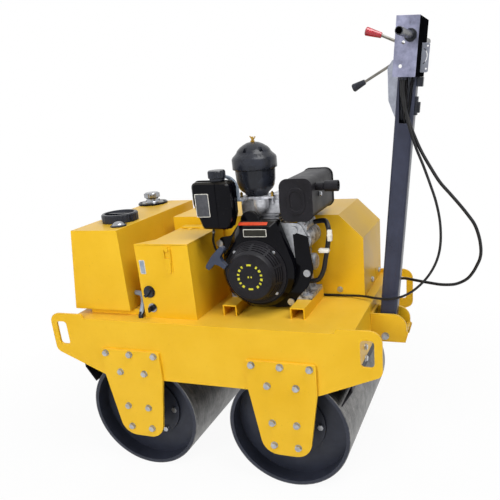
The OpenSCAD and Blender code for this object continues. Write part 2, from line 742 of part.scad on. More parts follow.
module fuel_tank() color(black) on_machine() difference() {
    union() {
        translate([filler_x, filler_y, fuel_top - 1]) cylinder(h = neck_h + 1, d = 44);
        hull() {
            upright(fuel_y, 1) fuel_face(fuel_bevel);
            upright(fuel_y + fuel_bevel, 1) fuel_face(0);
        }
        upright(fuel_y + fuel_bevel, fuel_depth - fuel_bevel) fuel_face(0);
        upright(fuel_y + fuel_depth / 2, 4) fuel_face(-3);
    }
    translate([engine_x - 99, fuel_y - 1, crank_z + 140]) cube([5, 3, 170]);
}
module fuel_face(t) translate([engine_x, crank_z]) polygon(rounded(inset_round(fuel_outline, t)));
module fuel_cap() color(black) on_machine() translate([filler_x, filler_y, fuel_top + neck_h]) difference() {
    rotate_extrude() polygon([[0, 0], [24, 0], [24, 6], [28, 8], [28, 26], [25, 30], [0, 30]]);
    for (k = [0:11]) rotate(30 * k) translate([31, 0, 9]) cylinder(h = 30, d = 10, $fn = 16);
}
module fuel_hose() color(black) on_machine() tube(hose_route, hose_d);

// Bowl, lid and dome turned in one, with slots in the dome and a wing nut on its stud
module air_cleaner() color(black) on_machine() translate([cleaner_x, cleaner_y, head_top]) {
    r = cleaner_d / 2;
    difference() {
        rotate_extrude($fn = 96) polygon([
            [0, 0], [34, 0], [38, 4], [40, 8], [r - 19, 20], [r - 13, 30], [r - 9, 50], [r - 7, 84], [r, 87],
            [r, 118], [r - 3, 124], [r - 13, 133], [r - 17, 138], [r - 20, 144], [r - 28, 152], [r - 40, 160],
            [20, 166], [10, 168], [7, 168], [7, 172], [4, 172], [4, 184], [0, 184]
        ]);
        for (k = [0:5]) rotate(60 * k + 20) translate([r - 30, -6, 137]) cube([12, 12, 30]);
    }
    for (s = [-1, 1]) translate([0, -1.5, 172]) rotate([0, s * 35, 0]) cube([3, 3, 16]);
}

// Rounded can with a rolled seam at each end and a racetrack bead on the near end
module muffler() color(black) on_machine() {
    right = muffler_x + muffler_w;
    top = muffler_z + muffler_h;
    mid_y = muffler_x + muffler_w / 2;
    upright(muffler_y + 4, muffler_l - 8)
        polygon(rounded(box_outline(muffler_x + seam, muffler_z + seam, right - seam, top - seam, 24)));
    for (y = [muffler_y, muffler_y + muffler_l - 6])
        upright(y, 6) polygon(rounded(box_outline(muffler_x, muffler_z, right, top, 26)));
    upright(muffler_y - 3, 4) difference() {
        polygon(rounded(box_outline(mid_y - 30, muffler_z + 23, mid_y + 30, top - 27, 29)));
        polygon(rounded(box_outline(mid_y - 19, muffler_z + 34, mid_y + 19, top - 38, 18)));
    }
    port_x = engine_x + 68;
    translate([port_x, -60, muffler_z + 42]) rotate([0, 90, 0]) cylinder(h = muffler_x + seam + 2 - port_x, d = 36);
    translate([port_x, -84, muffler_z + 18]) cube([6, 48, 48]);
}
module tailpipe() color(black) on_machine()
    translate([muffler_x + muffler_w - seam, muffler_y + 57, muffler_z + 100]) rotate([0, 90, 0])
        rotate_extrude() polygon([
            [9, 0], [12.5, 0], [12.5, 26], [17, 30], [17, 72], [14, 72], [14, 34], [9, 30]
        ]);

module belt_cover() color(yellow) on_machine() {
    outline = [
        [cover_x, deck_z], [cover_right, deck_z], [cover_right, cover_top - cover_slope.y],
        [cover_right - cover_slope.x, cover_top], [cover_x, cover_top]
    ];
    shell = inset(outline, cover_t);
    depth = in_y - cover_y;
    difference() {
        upright(cover_y, depth) polygon(outline);
        upright(cover_y + cover_t, depth - 2 * cover_t)
            polygon([for (k = [0:4]) k < 2 ? [shell[k].x, deck_z - 1] : shell[k]]);
        for (p = [[207, deck_z + 28], [217, deck_z + 4]])
            translate([cover_right - cover_t - 1, p.x, p.y]) cube([cover_t + 2, 5, 20]);
    }
    for (y = [cover_y + 1, in_y - 1 - cover_lip]) translate([cover_x + 1, y, deck_z])
        cube([cover_right - cover_x - 2, cover_lip, cover_t]);
}

module wiring_loom() color(black) on_machine() tube(loom_route, loom_d);

// ---------- handle ----------

// Cheek of the bracket, from the pivot, with a rounded top corner and a nose for the stop
module bracket_plate() translate([pivot_x, pivot_z]) difference() {
    root = deck_l / 2 - pivot_x;
    polygon(rounded([
        [root, -bracket_down, 0], [67, -bracket_down, 2], [76, 14, 2], [70, 20, 2], [70, bracket_up, 44],
        [root, bracket_up, 0]
    ]));
    circle(d = pivot_d + 2 * hub_clear);
}
module handle_bracket() color(yellow) on_machine() {
    y = bracket_gap / 2;
    upright(-y - bracket_t, bracket_t) bracket_plate();
    upright(y, bracket_t) bracket_plate();
    translate([deck_l / 2, -y, pivot_z - bracket_down]) cube([8, 2 * y, bracket_up + bracket_down]);
    stop_at = column_w / 2 + stop_d / 2 + fit_gap;
    translate([pivot_x, 0, pivot_z]) rotate([0, handle_lean + handle_fold, 0]) translate([stop_at, 0, stop_s])
        along_y(-y, 2 * y, stop_d);
}
module pivot_bolt() color(silver) on_machine() translate([pivot_x, 0, pivot_z]) {
    y = bracket_gap / 2 + bracket_t;
    along_y(-y, 2 * y + pivot_d, pivot_d);
    bolt_at(0, -y, 0, pivot_d * 0.8);
    mirror([0, 1, 0]) bolt_at(0, -y, 0, pivot_d * 0.8);
}

// Square tube with a boss for the pivot, and a tapered window below the head for the cables
module handle_column() color(slate) on_handle() {
    half = column_w / 2;
    bore = half - column_t;
    difference() {
        union() {
            translate([0, 0, -24]) linear_extrude(column_l + 24) difference() {
                polygon(rounded(box_outline(-half, -half, half, half, 8)));
                polygon(rounded(box_outline(-bore, -bore, bore, bore, 4)));
            }
            along_y(-bracket_gap / 2 + fit_gap, bracket_gap - 2 * fit_gap, boss_d);
        }
        along_y(-bracket_gap, 2 * bracket_gap, pivot_d + 2 * hub_clear);
        upright(-half - 1, column_t + 5) polygon([
            [5 - half, column_l + 1], [14 - half, column_l - 128], [half - 14, column_l - 128],
            [half - 5, column_l + 1]
        ]);
    }
}

// Box-shaped head, open towards the levers, with two holes in each end wall and the levers' shaft
module control_head() color(slate) on_handle() {
    translate([-head_w / 2, -head_d / 2, column_l]) difference() {
        cube([head_w, head_d, head_h]);
        translate([-1, head_t, head_t]) cube([head_w - head_t + 1, head_d - 2 * head_t, head_h - 2 * head_t]);
        for (p = [[24, 88], [20, 28]]) translate([p.x, -1, p.y]) rotate([-90, 0, 0])
            cylinder(h = head_d + 2, d = 10);
    }
    translate([shaft_u, 0, shaft_s]) along_y(1 - head_d / 2, head_d - 2, shaft_d);
}
module grip_tubes() color(black) on_handle() for_sides() translate([grip_u, 0, grip_s]) difference() {
    union() {
        along_y(-head_d / 2 - grip_l, grip_l, grip_d);
        along_y(-head_d / 2 - 6, 6, grip_d + 14);
    }
    along_y(-head_d / 2 - grip_l - 1, grip_l - 10, grip_d - 5);
}

// Points the Z axis of its children from point a to point b, both in the X and Z plane
module towards(a, b) translate(a) rotate([0, atan2(b.x - a.x, b.z - a.z), 0]) children();
// A control lever: hub on the head's shaft, rod, and a knob that widens towards its tip
module lever(neck, tip, knob) {
    l = norm(tip - neck);
    root = [shaft_u, 0, shaft_s];
    difference() {
        union() {
            translate(root) along_y(-7, 14, shaft_d + 14);
            towards(root, neck) cylinder(h = norm(neck - root) + 4, d = lever_d);
        }
        translate(root) along_y(-8, 16, shaft_d + 2 * hub_clear);
    }
    towards(neck, tip) rotate_extrude($fn = 32) polygon([
        [0, 0], [knob * 0.28, 0], [knob * 0.32, 2], [knob * 0.49, l - 6], [knob * 0.5, l - 3], [knob * 0.4, l],
        [0, l + 1]
    ]);
}
module travel_lever() color("#C02030") on_handle()
    translate([0, 8, 0]) lever([-88, 0, column_l + 112], [-136, 0, column_l + 125], 25);
module throttle_lever() color(black) on_handle()
    translate([0, -8, 0]) lever([-126, 0, column_l - 13], [-162, 0, column_l - 32], 24);

// The plate with arc slots beside the head, and the fin on the column that guards the lower lever
module lever_quadrant() color(silver) on_handle() {
    w = head_w / 2;
    half = column_w / 2;
    upright(-6, 3) difference() {
        polygon(rounded([
            [w, quad_s, 0], [w + quad_w, quad_s, quad_r], [w + quad_w, quad_s + quad_h, quad_r],
            [w, quad_s + quad_h, 0]
        ]));
        for (z = [10, quad_h - 8]) translate([w + quad_w - 6, quad_s + z]) circle(d = 5, $fn = 16);
        translate([w - 8, quad_s + quad_h / 2 + 4]) intersection() {
            difference() {
                circle(r = 25.5);
                circle(r = 23.5);
            }
            translate([12, -20]) square([20, 40]);
        }
    }
    upright(-20, 4) translate([0, column_l]) polygon(rounded([
        [-half, -112, 0], [-half - 10, -93, 8], [-half - 23, -66, 12], [-w - 28, 25, 6], [-w - 16, 45, 4],
        [-w - 1, 50, 0], [-w - 1, -1, 0], [-half, -1, 0]
    ]));
}
module cable_clamps() color(black) on_handle() {
    half = column_w / 2;
    translate([half, -20, column_l - 105]) cube([8, 20, 52]);
    translate([half + 8, -17, column_l - 98]) cube([7, 14, 30]);
    translate([half, -20, column_l - 26]) cube([18, 20, 26]);
    translate([-12, -43, column_l - gland_l + fit_gap]) cylinder(h = gland_l - fit_gap, d = 16);
    translate([-4, -60, column_l - gland_l + fit_gap]) cylinder(h = gland_l - fit_gap, d = 14);
}

module drive_cable() color(black) on_machine() tube(drive_route, cable_d);
module throttle_cable() color(black) on_machine() tube(throttle_route, throttle_d);

deck();
side_plate_near();
side_plate_far();
end_panels();
hangers();
axle_carriers();
scrapers();
drum_front();
drum_rear();
tank_pedestal();
water_tank();
oil_tank();
water_cap();
tank_vent();
oil_breather();
drain_pipe();
control_box();
box_lid();
box_latch();
box_switches();
engine_rails();
engine_block();
cylinder_head();
fan_shroud();
recoil_cover();
recoil_grip();
fuel_tank();
fuel_cap();
fuel_hose();
air_cleaner();
muffler();
tailpipe();
belt_cover();
handle_bracket();
pivot_bolt();
handle_column();
control_head();
grip_tubes();
travel_lever();
throttle_lever();
lever_quadrant();
cable_clamps();
drive_cable();
throttle_cable();
wiring_loom();
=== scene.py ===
import json
import math
import bmesh
import bpy
import numpy as np
from mathutils import Matrix, Vector


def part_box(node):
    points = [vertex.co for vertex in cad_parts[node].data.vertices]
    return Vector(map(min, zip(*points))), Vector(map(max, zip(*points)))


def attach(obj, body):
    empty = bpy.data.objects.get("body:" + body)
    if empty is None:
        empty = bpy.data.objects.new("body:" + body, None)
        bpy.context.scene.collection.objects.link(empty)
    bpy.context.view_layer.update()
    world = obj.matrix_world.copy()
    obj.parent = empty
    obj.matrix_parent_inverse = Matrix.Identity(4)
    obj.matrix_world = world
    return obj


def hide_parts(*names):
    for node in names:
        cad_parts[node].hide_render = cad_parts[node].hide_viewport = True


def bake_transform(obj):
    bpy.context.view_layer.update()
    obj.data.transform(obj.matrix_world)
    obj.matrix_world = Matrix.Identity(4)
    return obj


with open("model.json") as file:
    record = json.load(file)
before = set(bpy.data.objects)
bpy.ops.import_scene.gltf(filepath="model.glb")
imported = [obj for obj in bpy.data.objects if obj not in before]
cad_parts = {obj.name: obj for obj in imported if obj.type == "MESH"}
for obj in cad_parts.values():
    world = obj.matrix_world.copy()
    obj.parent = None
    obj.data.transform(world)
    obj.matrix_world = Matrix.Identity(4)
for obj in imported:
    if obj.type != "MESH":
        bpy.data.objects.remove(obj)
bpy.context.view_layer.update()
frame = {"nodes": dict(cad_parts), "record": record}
print("frame loaded,", len(frame["nodes"]), "pieces from the CAD model")

# The source's X runs from the middle between the drums; this is that point in the frame.
middleX = (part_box("drum_front")[0].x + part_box("drum_rear")[1].x) / 2

cameraSettings = {
    "place": (0.9056, -1.8972, 1.2645),                    # metres, X from the middle between the drums
    "azimuth": 22.62, "elevation": 20.86, "roll": -5.28,   # degrees
    "lens": 42.45, "sensor": 36.0,                         # millimetres
    "shift": (-0.0350, 0.1417),                            # parts of the sensor's width
}


def makeCamera(s):
    # looks from s["place"] along the direction that azimuth and elevation give, rolled about that line
    az, el, roll = (math.radians(s[k]) for k in ("azimuth", "elevation", "roll"))
    back = Vector((math.sin(az) * math.cos(el), -math.cos(az) * math.cos(el), math.sin(el)))
    level = Vector((0, 0, 1)).cross(back).normalized()
    upright = back.cross(level)
    right = level * math.cos(roll) + upright * math.sin(roll)
    up = upright * math.cos(roll) - level * math.sin(roll)
    data = bpy.data.cameras.new("camera")
    data.lens, data.sensor_width = s["lens"], s["sensor"]
    data.shift_x, data.shift_y = s["shift"]
    camera = bpy.data.objects.new("camera", data)
    bpy.context.scene.collection.objects.link(camera)
    turn = Matrix((right, up, back)).transposed().to_4x4()
    camera.matrix_world = Matrix.Translation(Vector(s["place"]) + Vector((middleX, 0, 0))) @ turn
    bpy.context.scene.camera = camera


makeCamera(cameraSettings)
print("camera placed")

handleLine = {"pivotX": 562.0, "pivotZ": 470.0, "lean": 5.0}   # millimetres and degrees
crankX, crankZ = 170, 729                                      # millimetres, the engine's crankshaft


def fromMachine(points):
    # millimetres from the middle between the drums, to metres in the frame
    return np.asarray(points, float) / 1000 + np.array([middleX, 0, 0])


def fromHandle(points):
    # u across the column, y, and s up the column from its pivot, turned by the column's lean
    p = np.asarray(points, float).reshape(-1, 3)
    a = math.radians(handleLine["lean"])
    x = handleLine["pivotX"] + p[:, 0] * math.cos(a) + p[:, 2] * math.sin(a)
    z = handleLine["pivotZ"] - p[:, 0] * math.sin(a) + p[:, 2] * math.cos(a)
    return fromMachine(np.column_stack([x, p[:, 1], z]))


def acrossHandle(x, z):
    # u of a place on the machine: what fromHandle does, undone
    a = math.radians(handleLine["lean"])
    return (x - handleLine["pivotX"]) * math.cos(a) - (z - handleLine["pivotZ"]) * math.sin(a)


def unit(v):
    # each vector over its own length
    v = np.asarray(v, float)
    return v / np.linalg.norm(v, axis=-1, keepdims=True)


def hexColour(text):
    # sRGB hex to linear RGBA
    parts = np.array([int(text[i:i + 2], 16) for i in (1, 3, 5)]) / 255
    linear = np.where(parts <= 0.04045, parts / 12.92, ((parts + 0.055) / 1.055) ** 2.4)
    return (*linear, 1.0)


def addNode(tree, kind, sockets=None, **settings):
    # adds one node, sets its properties, and gives each input, by name or number, a value or a link
    node = tree.nodes.new(kind)
    for name, value in settings.items():
        setattr(node, name, value)
    for name, value in (sockets or {}).items():
        if isinstance(value, bpy.types.NodeSocket):
            tree.links.new(value, node.inputs[name])
        else:
            node.inputs[name].default_value = value
    return node


def newMaterial(name):
    # a material with its node tree and the shader that comes with it
    material = bpy.data.materials.new(name)
    material.use_nodes = True
    tree = material.node_tree
    return material, tree, tree.nodes["Principled BSDF"]


# What a finish has where its own settings don't say. In all finishes patch, speckSize, grain and depth are
# millimetres, dust and specks are the most that they cover, and spread is how far the roughness strays. The
# dust pales what faces up; on the yellow paint it is part dust and part painted light from above.
usualFinish = {"dustAndTopLight": 0.0, "dustAndTopLightColour": "#D9CDB4", "specks": 0.0, "speckFrom": 0.66, "speckFade": 0.08,
               "spread": 0.08, "metallic": 0.0, "specular": 0.5, "coat": 0.0, "coatRoughness": 0.08}


def makeFinish(name, own):
    # Two close tones in patches, a pale cover on what faces up (dust, and on the yellow paint also painted
    # light from above), specks, a grain in the relief, and a gloss that follows the patches. A noise scale
    # is 1000 divided by the size, and its values gather round 0.5.
    s = {**usualFinish, **own}
    material, tree, shader = newMaterial(name)
    spot = addNode(tree, "ShaderNodeTexCoord").outputs["Object"]
    patches = addNode(tree, "ShaderNodeTexNoise",
                      {"Vector": spot, "Scale": 1000 / s["patch"], "Detail": 5.0, "Roughness": 0.62})
    tone = addNode(tree, "ShaderNodeMapRange",
                   {"Value": patches.outputs["Fac"], "From Min": 0.36, "From Max": 0.64})
    first, second = (hexColour(text) for text in s["tones"])
    mixed = addNode(tree, "ShaderNodeMix", {0: tone.outputs[0], 6: first, 7: second}, data_type="RGBA")
    # what faces up is paled: dust, and with the yellow paint's light yellow also painted light from above
    if s["dustAndTopLight"]:
        face = addNode(tree, "ShaderNodeNewGeometry")
        normal = addNode(tree, "ShaderNodeSeparateXYZ", {"Vector": face.outputs["Normal"]})
        upward = addNode(tree, "ShaderNodeMapRange",
                         {"Value": normal.outputs["Z"], "From Min": 0.45, "From Max": 0.95,
                          "To Max": s["dustAndTopLight"]})
        topCoverClouds = addNode(tree, "ShaderNodeTexNoise",   # clouds about 45 mm across
                         {"Vector": spot, "Scale": 22.0, "Detail": 8.0, "Roughness": 0.7})
        topCoverShare = addNode(tree, "ShaderNodeMapRange",
                        {"Value": topCoverClouds.outputs["Fac"], "From Min": 0.3, "From Max": 0.7,
                         "To Min": 0.6, "To Max": 1.3})
        amount = addNode(tree, "ShaderNodeMath", {0: upward.outputs[0], 1: topCoverShare.outputs[0]},
                         operation="MULTIPLY")
        mixed = addNode(tree, "ShaderNodeMix",
                        {0: amount.outputs[0], 6: mixed.outputs[2], 7: hexColour(s["dustAndTopLightColour"])},
                        data_type="RGBA")
    if s["specks"]:
        dots = addNode(tree, "ShaderNodeTexNoise",
                       {"Vector": spot, "Scale": 1000 / s["speckSize"], "Detail": 3.0, "Roughness": 0.55})
        where = addNode(tree, "ShaderNodeMapRange",
                        {"Value": dots.outputs["Fac"], "From Min": s["speckFrom"],
                         "From Max": s["speckFrom"] + s["speckFade"], "To Max": s["specks"]})
        mixed = addNode(tree, "ShaderNodeMix",
                        {0: where.outputs[0], 6: mixed.outputs[2], 7: hexColour(s["speckColour"])},
                        data_type="RGBA")
    tree.links.new(mixed.outputs[2], shader.inputs["Base Color"])
    grain = addNode(tree, "ShaderNodeTexNoise", {"Vector": spot, "Scale": 1000 / s["grain"], "Detail": 2.0})
    bump = addNode(tree, "ShaderNodeBump", {"Height": grain.outputs["Fac"], "Distance": s["depth"] / 1000})
    tree.links.new(bump.outputs["Normal"], shader.inputs["Normal"])
    gloss = addNode(tree, "ShaderNodeMapRange",
                    {"Value": patches.outputs["Fac"], "From Min": 0.3, "From Max": 0.7,
                     "To Min": s["roughness"] - s["spread"], "To Max": s["roughness"] + s["spread"]})
    tree.links.new(gloss.outputs[0], shader.inputs["Roughness"])
    shader.inputs["Metallic"].default_value = s["metallic"]
    if not s["metallic"]:
        shader.inputs["Specular IOR Level"].default_value = s["specular"]
    if s["coat"]:
        shader.inputs["Coat Weight"].default_value = s["coat"]
        shader.inputs["Coat Roughness"].default_value = s["coatRoughness"]
    return material


# finishes named by the record's slots
finishSettings = {
    # sprayed machinery enamel on folded sheet: even colour, 2 mm orange peel, light yellow on top faces:
    # site dust and painted light from above
    "yellow_paint": ("machineryEnamel", {
        "tones": ("#E1B01C", "#E8B92A"), "patch": 220, "dustAndTopLight": 0.12, "dustAndTopLightColour": "#F4D684",
        "specks": 0.25, "speckSize": 7, "speckColour": "#A87A18", "grain": 2.2, "depth": 0.03,
        "roughness": 0.36, "specular": 0.22}),
    # satin blue-grey enamel of the column: an even, soft sheen
    "slate_paint": ("slateEnamel", {
        "tones": ("#2E3141", "#383C4E"), "patch": 120, "dustAndTopLight": 0.10, "grain": 1.8, "depth": 0.03,
        "roughness": 0.34, "specular": 0.3}),
    # stoved gloss enamel on pressed sheet: deep black with clear lights on its bends
    "gloss_black": ("stovedBlack", {
        "tones": ("#030307", "#08080E"), "patch": 90, "dustAndTopLight": 0.04, "specks": 0.12, "speckSize": 4,
        "speckColour": "#55534E", "grain": 3, "depth": 0.01, "roughness": 0.1, "spread": 0.04,
        "specular": 0.12}),
    # dry black paint of the exhaust, the recoil cover and the scrapers, with ash-grey bloom on top
    "matte_black": ("exhaustBlack", {
        "tones": ("#18171A", "#222125"), "patch": 60, "dustAndTopLight": 0.08, "dustAndTopLightColour": "#8A8C90",
        "specks": 0.3, "speckSize": 4, "speckColour": "#77787A", "grain": 1.2, "depth": 0.08,
        "roughness": 0.45, "specular": 0.15}),
    # electro-plated zinc on bolts and brackets: dull silver with a slight blue cast
    "bare_steel": ("zincPlate", {
        "tones": ("#A2A4A9", "#C8CACD"), "patch": 14, "grain": 1.0, "depth": 0.02, "roughness": 0.38,
        "metallic": 1.0}),
    # sand-cast aluminium: bright, grainy, stained in patches
    "cast_alloy": ("castAluminium", {
        "tones": ("#9A9CA2", "#DCDDE2"), "patch": 26, "specks": 0.75, "speckSize": 9,
        "speckColour": "#3C3B3A", "grain": 1.4, "depth": 0.15, "roughness": 0.42, "metallic": 0.55}),
    # chromed caps and fittings: bright, slightly blurred reflections with a grey cast
    "chrome_plate": ("chromePlate", {
        "tones": ("#8F9195", "#A6A8AC"), "patch": 30, "grain": 4, "depth": 0.01, "roughness": 0.2,
        "spread": 0.05, "metallic": 1.0}),
    # moulded plastic with a fine spark-eroded texture: broad, soft lights
    "black_plastic": ("mouldedBlack", {
        "tones": ("#1A1C22", "#252831"), "patch": 50, "dustAndTopLight": 0.04, "dustAndTopLightColour": "#8C8C8C", "grain": 0.9,
        "depth": 0.04, "roughness": 0.28, "specular": 0.3}),
    # moulded plastic dyed slate blue: dull, with dust in its texture
    "blue_plastic": ("mouldedSlateBlue", {
        "tones": ("#2C3242", "#363E52"), "patch": 40, "dustAndTopLight": 0.1, "grain": 0.9, "depth": 0.06,
        "roughness": 0.45, "specular": 0.4}),
    # polished knob: deep red under a clear skin
    "red_plastic": ("knobRed", {
        "tones": ("#8E0A1E", "#B01226"), "patch": 18, "grain": 3, "depth": 0.01, "roughness": 0.18,
        "spread": 0.04, "coat": 0.5}),
    # extruded sheath of the cables: smooth, faintly scuffed
    "rubber_sheath": ("extrudedSheath", {
        "tones": ("#0E0E10", "#1A1A1C"), "patch": 25, "specks": 0.2, "speckSize": 3,
        "speckColour": "#4C4C4C", "grain": 0.8, "depth": 0.03, "roughness": 0.42, "specular": 0.35}),
}

# finishes of single nodes, by the node's name, and of the trim and of parts of a node
extraSettings = {
    # the crankcase: sand-cast aluminium, pale, with near-black blotches spread at random over much of it
    "engine_block": ("blotchedCasting", {
        "tones": ("#6A6C72", "#BFC1C6"), "patch": 22, "specks": 0.85, "speckSize": 13, "speckFrom": 0.56,
        "speckColour": "#1D1D1F", "grain": 1.4, "depth": 0.2, "roughness": 0.45, "metallic": 0.4}),
    # the head's sheet: slate satin enamel, its tones and pale specks lifted to a cloudy blue silver as
    # painted sheen
    "control_head": ("slateEnamelPaintedSheen", {
        "tones": ("#65677C", "#9496B0"), "patch": 34, "specks": 0.15, "speckSize": 3,
        "speckColour": "#B9BACB", "grain": 1.2, "depth": 0.04, "roughness": 0.34}),
    # the plate with the arcs and the fin below it: brushed aluminium sheet, pale with a soft sheen
    "lever_quadrant": ("brushedAluminium", {
        "tones": ("#9296A3", "#A9ADBA"), "patch": 22, "grain": 1.1, "depth": 0.03, "roughness": 0.4,
        "metallic": 0.3}),
    # brushed brass of nuts: warm yellow metal, duller in spots
    "brass": ("brushedBrass", {
        "tones": ("#8F6F2C", "#C9A24A"), "patch": 12, "grain": 0.8, "depth": 0.02, "roughness": 0.3,
        "metallic": 1.0}),
    # grey-blue paint over a casting: cool and soft, with the sand's grain under it
    "paleBlue": ("greyBlueCasting", {
        "tones": ("#7F8A98", "#9AA5B2"), "patch": 20, "grain": 1.4, "depth": 0.08, "roughness": 0.4}),
    # moulded plastic gone ivory: warm off-white, a little mottled
    "ivory": ("mouldedIvory", {
        "tones": ("#C9C6BC", "#E2DFD6"), "patch": 10, "grain": 0.8, "depth": 0.03, "roughness": 0.4}),
    # screen-printed ink: flat and bright, thinner in spots
    "limePrint": ("screenPrintedYellow", {
        "tones": ("#C2BE2E", "#D8D23C"), "patch": 6, "grain": 0.6, "depth": 0.01, "roughness": 0.45,
        "specular": 0.3}),
    # printed film: warm red under a smooth satin face
    "redStrip": ("warmRedFilm", {
        "tones": ("#B83A1C", "#CC4A26"), "patch": 14, "grain": 1, "depth": 0.01, "roughness": 0.35}),
    # vinyl film, near black with a warm cast
    "darkLabel": ("darkVinylLabel", {
        "tones": ("#17160F", "#232117"), "patch": 12, "grain": 1, "depth": 0.01, "roughness": 0.35,
        "specular": 0.3}),
    # vinyl film, charcoal grey
    "greyField": ("greyVinylLabel", {
        "tones": ("#34353A", "#45464B"), "patch": 9, "grain": 1, "depth": 0.01, "roughness": 0.4}),
    # ground steel rod of the levers: grey lustre without clear reflections
    "rodSteel": ("polishedRod", {
        "tones": ("#6F6C66", "#8A8780"), "patch": 16, "grain": 1.5, "depth": 0.01, "roughness": 0.34,
        "metallic": 0.9}),
    # flat black that throws nothing back: painted shade, as of a shaded opening, on the head's closed face
    "paintedShadeBlack": ("paintedShadeFlatBlack", {
        "tones": ("#0A0A0C", "#121216"), "patch": 20, "grain": 0.9, "depth": 0.05, "roughness": 0.7,
        "specular": 0.0}),
    # light grey enamel inside the column: pale and even
    "lightGrey": ("lightGreyEnamel", {
        "tones": ("#9599A4", "#A9ADB7"), "patch": 40, "grain": 1.6, "depth": 0.03, "roughness": 0.35}),
}

drumSettings = {
    "radius": 213.0, "axleHeight": 213.0,              # millimetres
    "axleX": {"drum_front": -280, "drum_rear": 280},   # millimetres from the middle between the drums
    "enamel": ("#1A1C24", "#363A48"), "steel": ("#4E4E50", "#9C9B99"),
    "scratchDepth": 0.0001, "raggedness": 0.006,       # metres
    "wearFrom": -0.0005, "wearTo": 0.0025,             # metres outwards from the radius
    "metallic": 0.55, "specular": 0.35, "roughness": (0.36, 0.55),
}


def drumFinish(node, s):
    # Rolled steel drum: black enamel inside and on the discs, worn to steel where it rolls. Wear follows
    # the distance from the axle. Scratches run round, so they change along Y and hardly along the rim.
    # Noise sizes: the ragged edge 17 mm, stains 56 mm, scratches 2.4 mm along Y by 71 mm.
    material, tree, shader = newMaterial(node.replace("_", "") + "Steel")
    radius = s["radius"] / 1000
    spot = addNode(tree, "ShaderNodeTexCoord").outputs["Object"]
    part = addNode(tree, "ShaderNodeSeparateXYZ", {"Vector": spot})
    dx = addNode(tree, "ShaderNodeMath", {0: part.outputs["X"], 1: middleX + s["axleX"][node] / 1000},
                 operation="SUBTRACT")
    dz = addNode(tree, "ShaderNodeMath", {0: part.outputs["Z"], 1: s["axleHeight"] / 1000},
                 operation="SUBTRACT")
    flat = addNode(tree, "ShaderNodeCombineXYZ", {"X": dx.outputs[0], "Z": dz.outputs[0]})
    away = addNode(tree, "ShaderNodeVectorMath", {0: flat.outputs[0]}, operation="LENGTH")
    ragged = addNode(tree, "ShaderNodeTexNoise",
                     {"Vector": spot, "Scale": 60.0, "Detail": 6.0, "Roughness": 0.7})
    edge = addNode(tree, "ShaderNodeMath",
                   {0: ragged.outputs["Fac"], 1: s["raggedness"], 2: away.outputs["Value"]},
                   operation="MULTIPLY_ADD")
    worn = addNode(tree, "ShaderNodeMapRange",
                   {"Value": edge.outputs[0], "From Min": radius + s["wearFrom"],
                    "From Max": radius + s["wearTo"]})
    streakSpot = addNode(tree, "ShaderNodeMapping", {"Vector": spot, "Scale": (14.0, 420.0, 14.0)})
    streaks = addNode(tree, "ShaderNodeTexNoise",
                      {"Vector": streakSpot.outputs[0], "Scale": 1.0, "Detail": 4.0, "Roughness": 0.65})
    stains = addNode(tree, "ShaderNodeTexNoise",
                     {"Vector": spot, "Scale": 18.0, "Detail": 8.0, "Roughness": 0.7})
    both = addNode(tree, "ShaderNodeMath", {0: streaks.outputs["Fac"], 1: stains.outputs["Fac"]},
                   operation="MULTIPLY")
    grey = addNode(tree, "ShaderNodeMapRange",
                   {"Value": both.outputs[0], "From Min": 0.14, "From Max": 0.36})
    steel = addNode(tree, "ShaderNodeMix",
                    {0: grey.outputs[0], 6: hexColour(s["steel"][0]), 7: hexColour(s["steel"][1])},
                    data_type="RGBA")
    dark = addNode(tree, "ShaderNodeMix",
                   {0: stains.outputs["Fac"], 6: hexColour(s["enamel"][0]), 7: hexColour(s["enamel"][1])},
                   data_type="RGBA")
    colour = addNode(tree, "ShaderNodeMix", {0: worn.outputs[0], 6: dark.outputs[2], 7: steel.outputs[2]},
                     data_type="RGBA")
    tree.links.new(colour.outputs[2], shader.inputs["Base Color"])
    metal = addNode(tree, "ShaderNodeMath", {0: worn.outputs[0], 1: s["metallic"]}, operation="MULTIPLY")
    tree.links.new(metal.outputs[0], shader.inputs["Metallic"])
    rough = addNode(tree, "ShaderNodeMapRange",
                    {"Value": streaks.outputs["Fac"], "From Min": 0.3, "From Max": 0.7,
                     "To Min": s["roughness"][0], "To Max": s["roughness"][1]})
    tree.links.new(rough.outputs[0], shader.inputs["Roughness"])
    bump = addNode(tree, "ShaderNodeBump", {"Height": streaks.outputs["Fac"], "Distance": s["scratchDepth"]})
    tree.links.new(bump.outputs["Normal"], shader.inputs["Normal"])
    shader.inputs["Specular IOR Level"].default_value = s["specular"]
    return material


finishes = {key: makeFinish(name, s) for key, (name, s) in {**finishSettings, **extraSettings}.items()}
for drumNode in drumSettings["axleX"]:
    finishes[drumNode] = drumFinish(drumNode, drumSettings)
slotOf = {row["node"]: row["material_slot"] for row in frame["record"]["subparts"]}
bodyOf = {node: body for body, nodes in frame["record"]["behaviour"]["bodies"].items() for node in nodes}
print("finishes mixed")


def shellMesh(name, shells):
    # each shell is an array of rings by points by 3: rings joined by quads, both ends closed by one face
    points, faces, start = [], [], 0
    for rings in shells:
        n, m = rings.shape[:2]
        index = start + np.arange(n * m).reshape(n, m)
        near, far = index[:-1], index[1:]
        quads = np.stack([near, np.roll(near, -1, 1), np.roll(far, -1, 1), far], -1).reshape(-1, 4)
        faces += quads.tolist() + [index[0, ::-1].tolist(), index[-1].tolist()]
        points.append(rings.reshape(-1, 3))
        start += n * m
    mesh = bpy.data.meshes.new(name)
    mesh.from_pydata(np.concatenate(points).tolist(), [], faces)
    work = bmesh.new()
    work.from_mesh(mesh)
    bmesh.ops.recalc_face_normals(work, faces=work.faces)
    work.to_mesh(mesh)
    work.free()
    return mesh


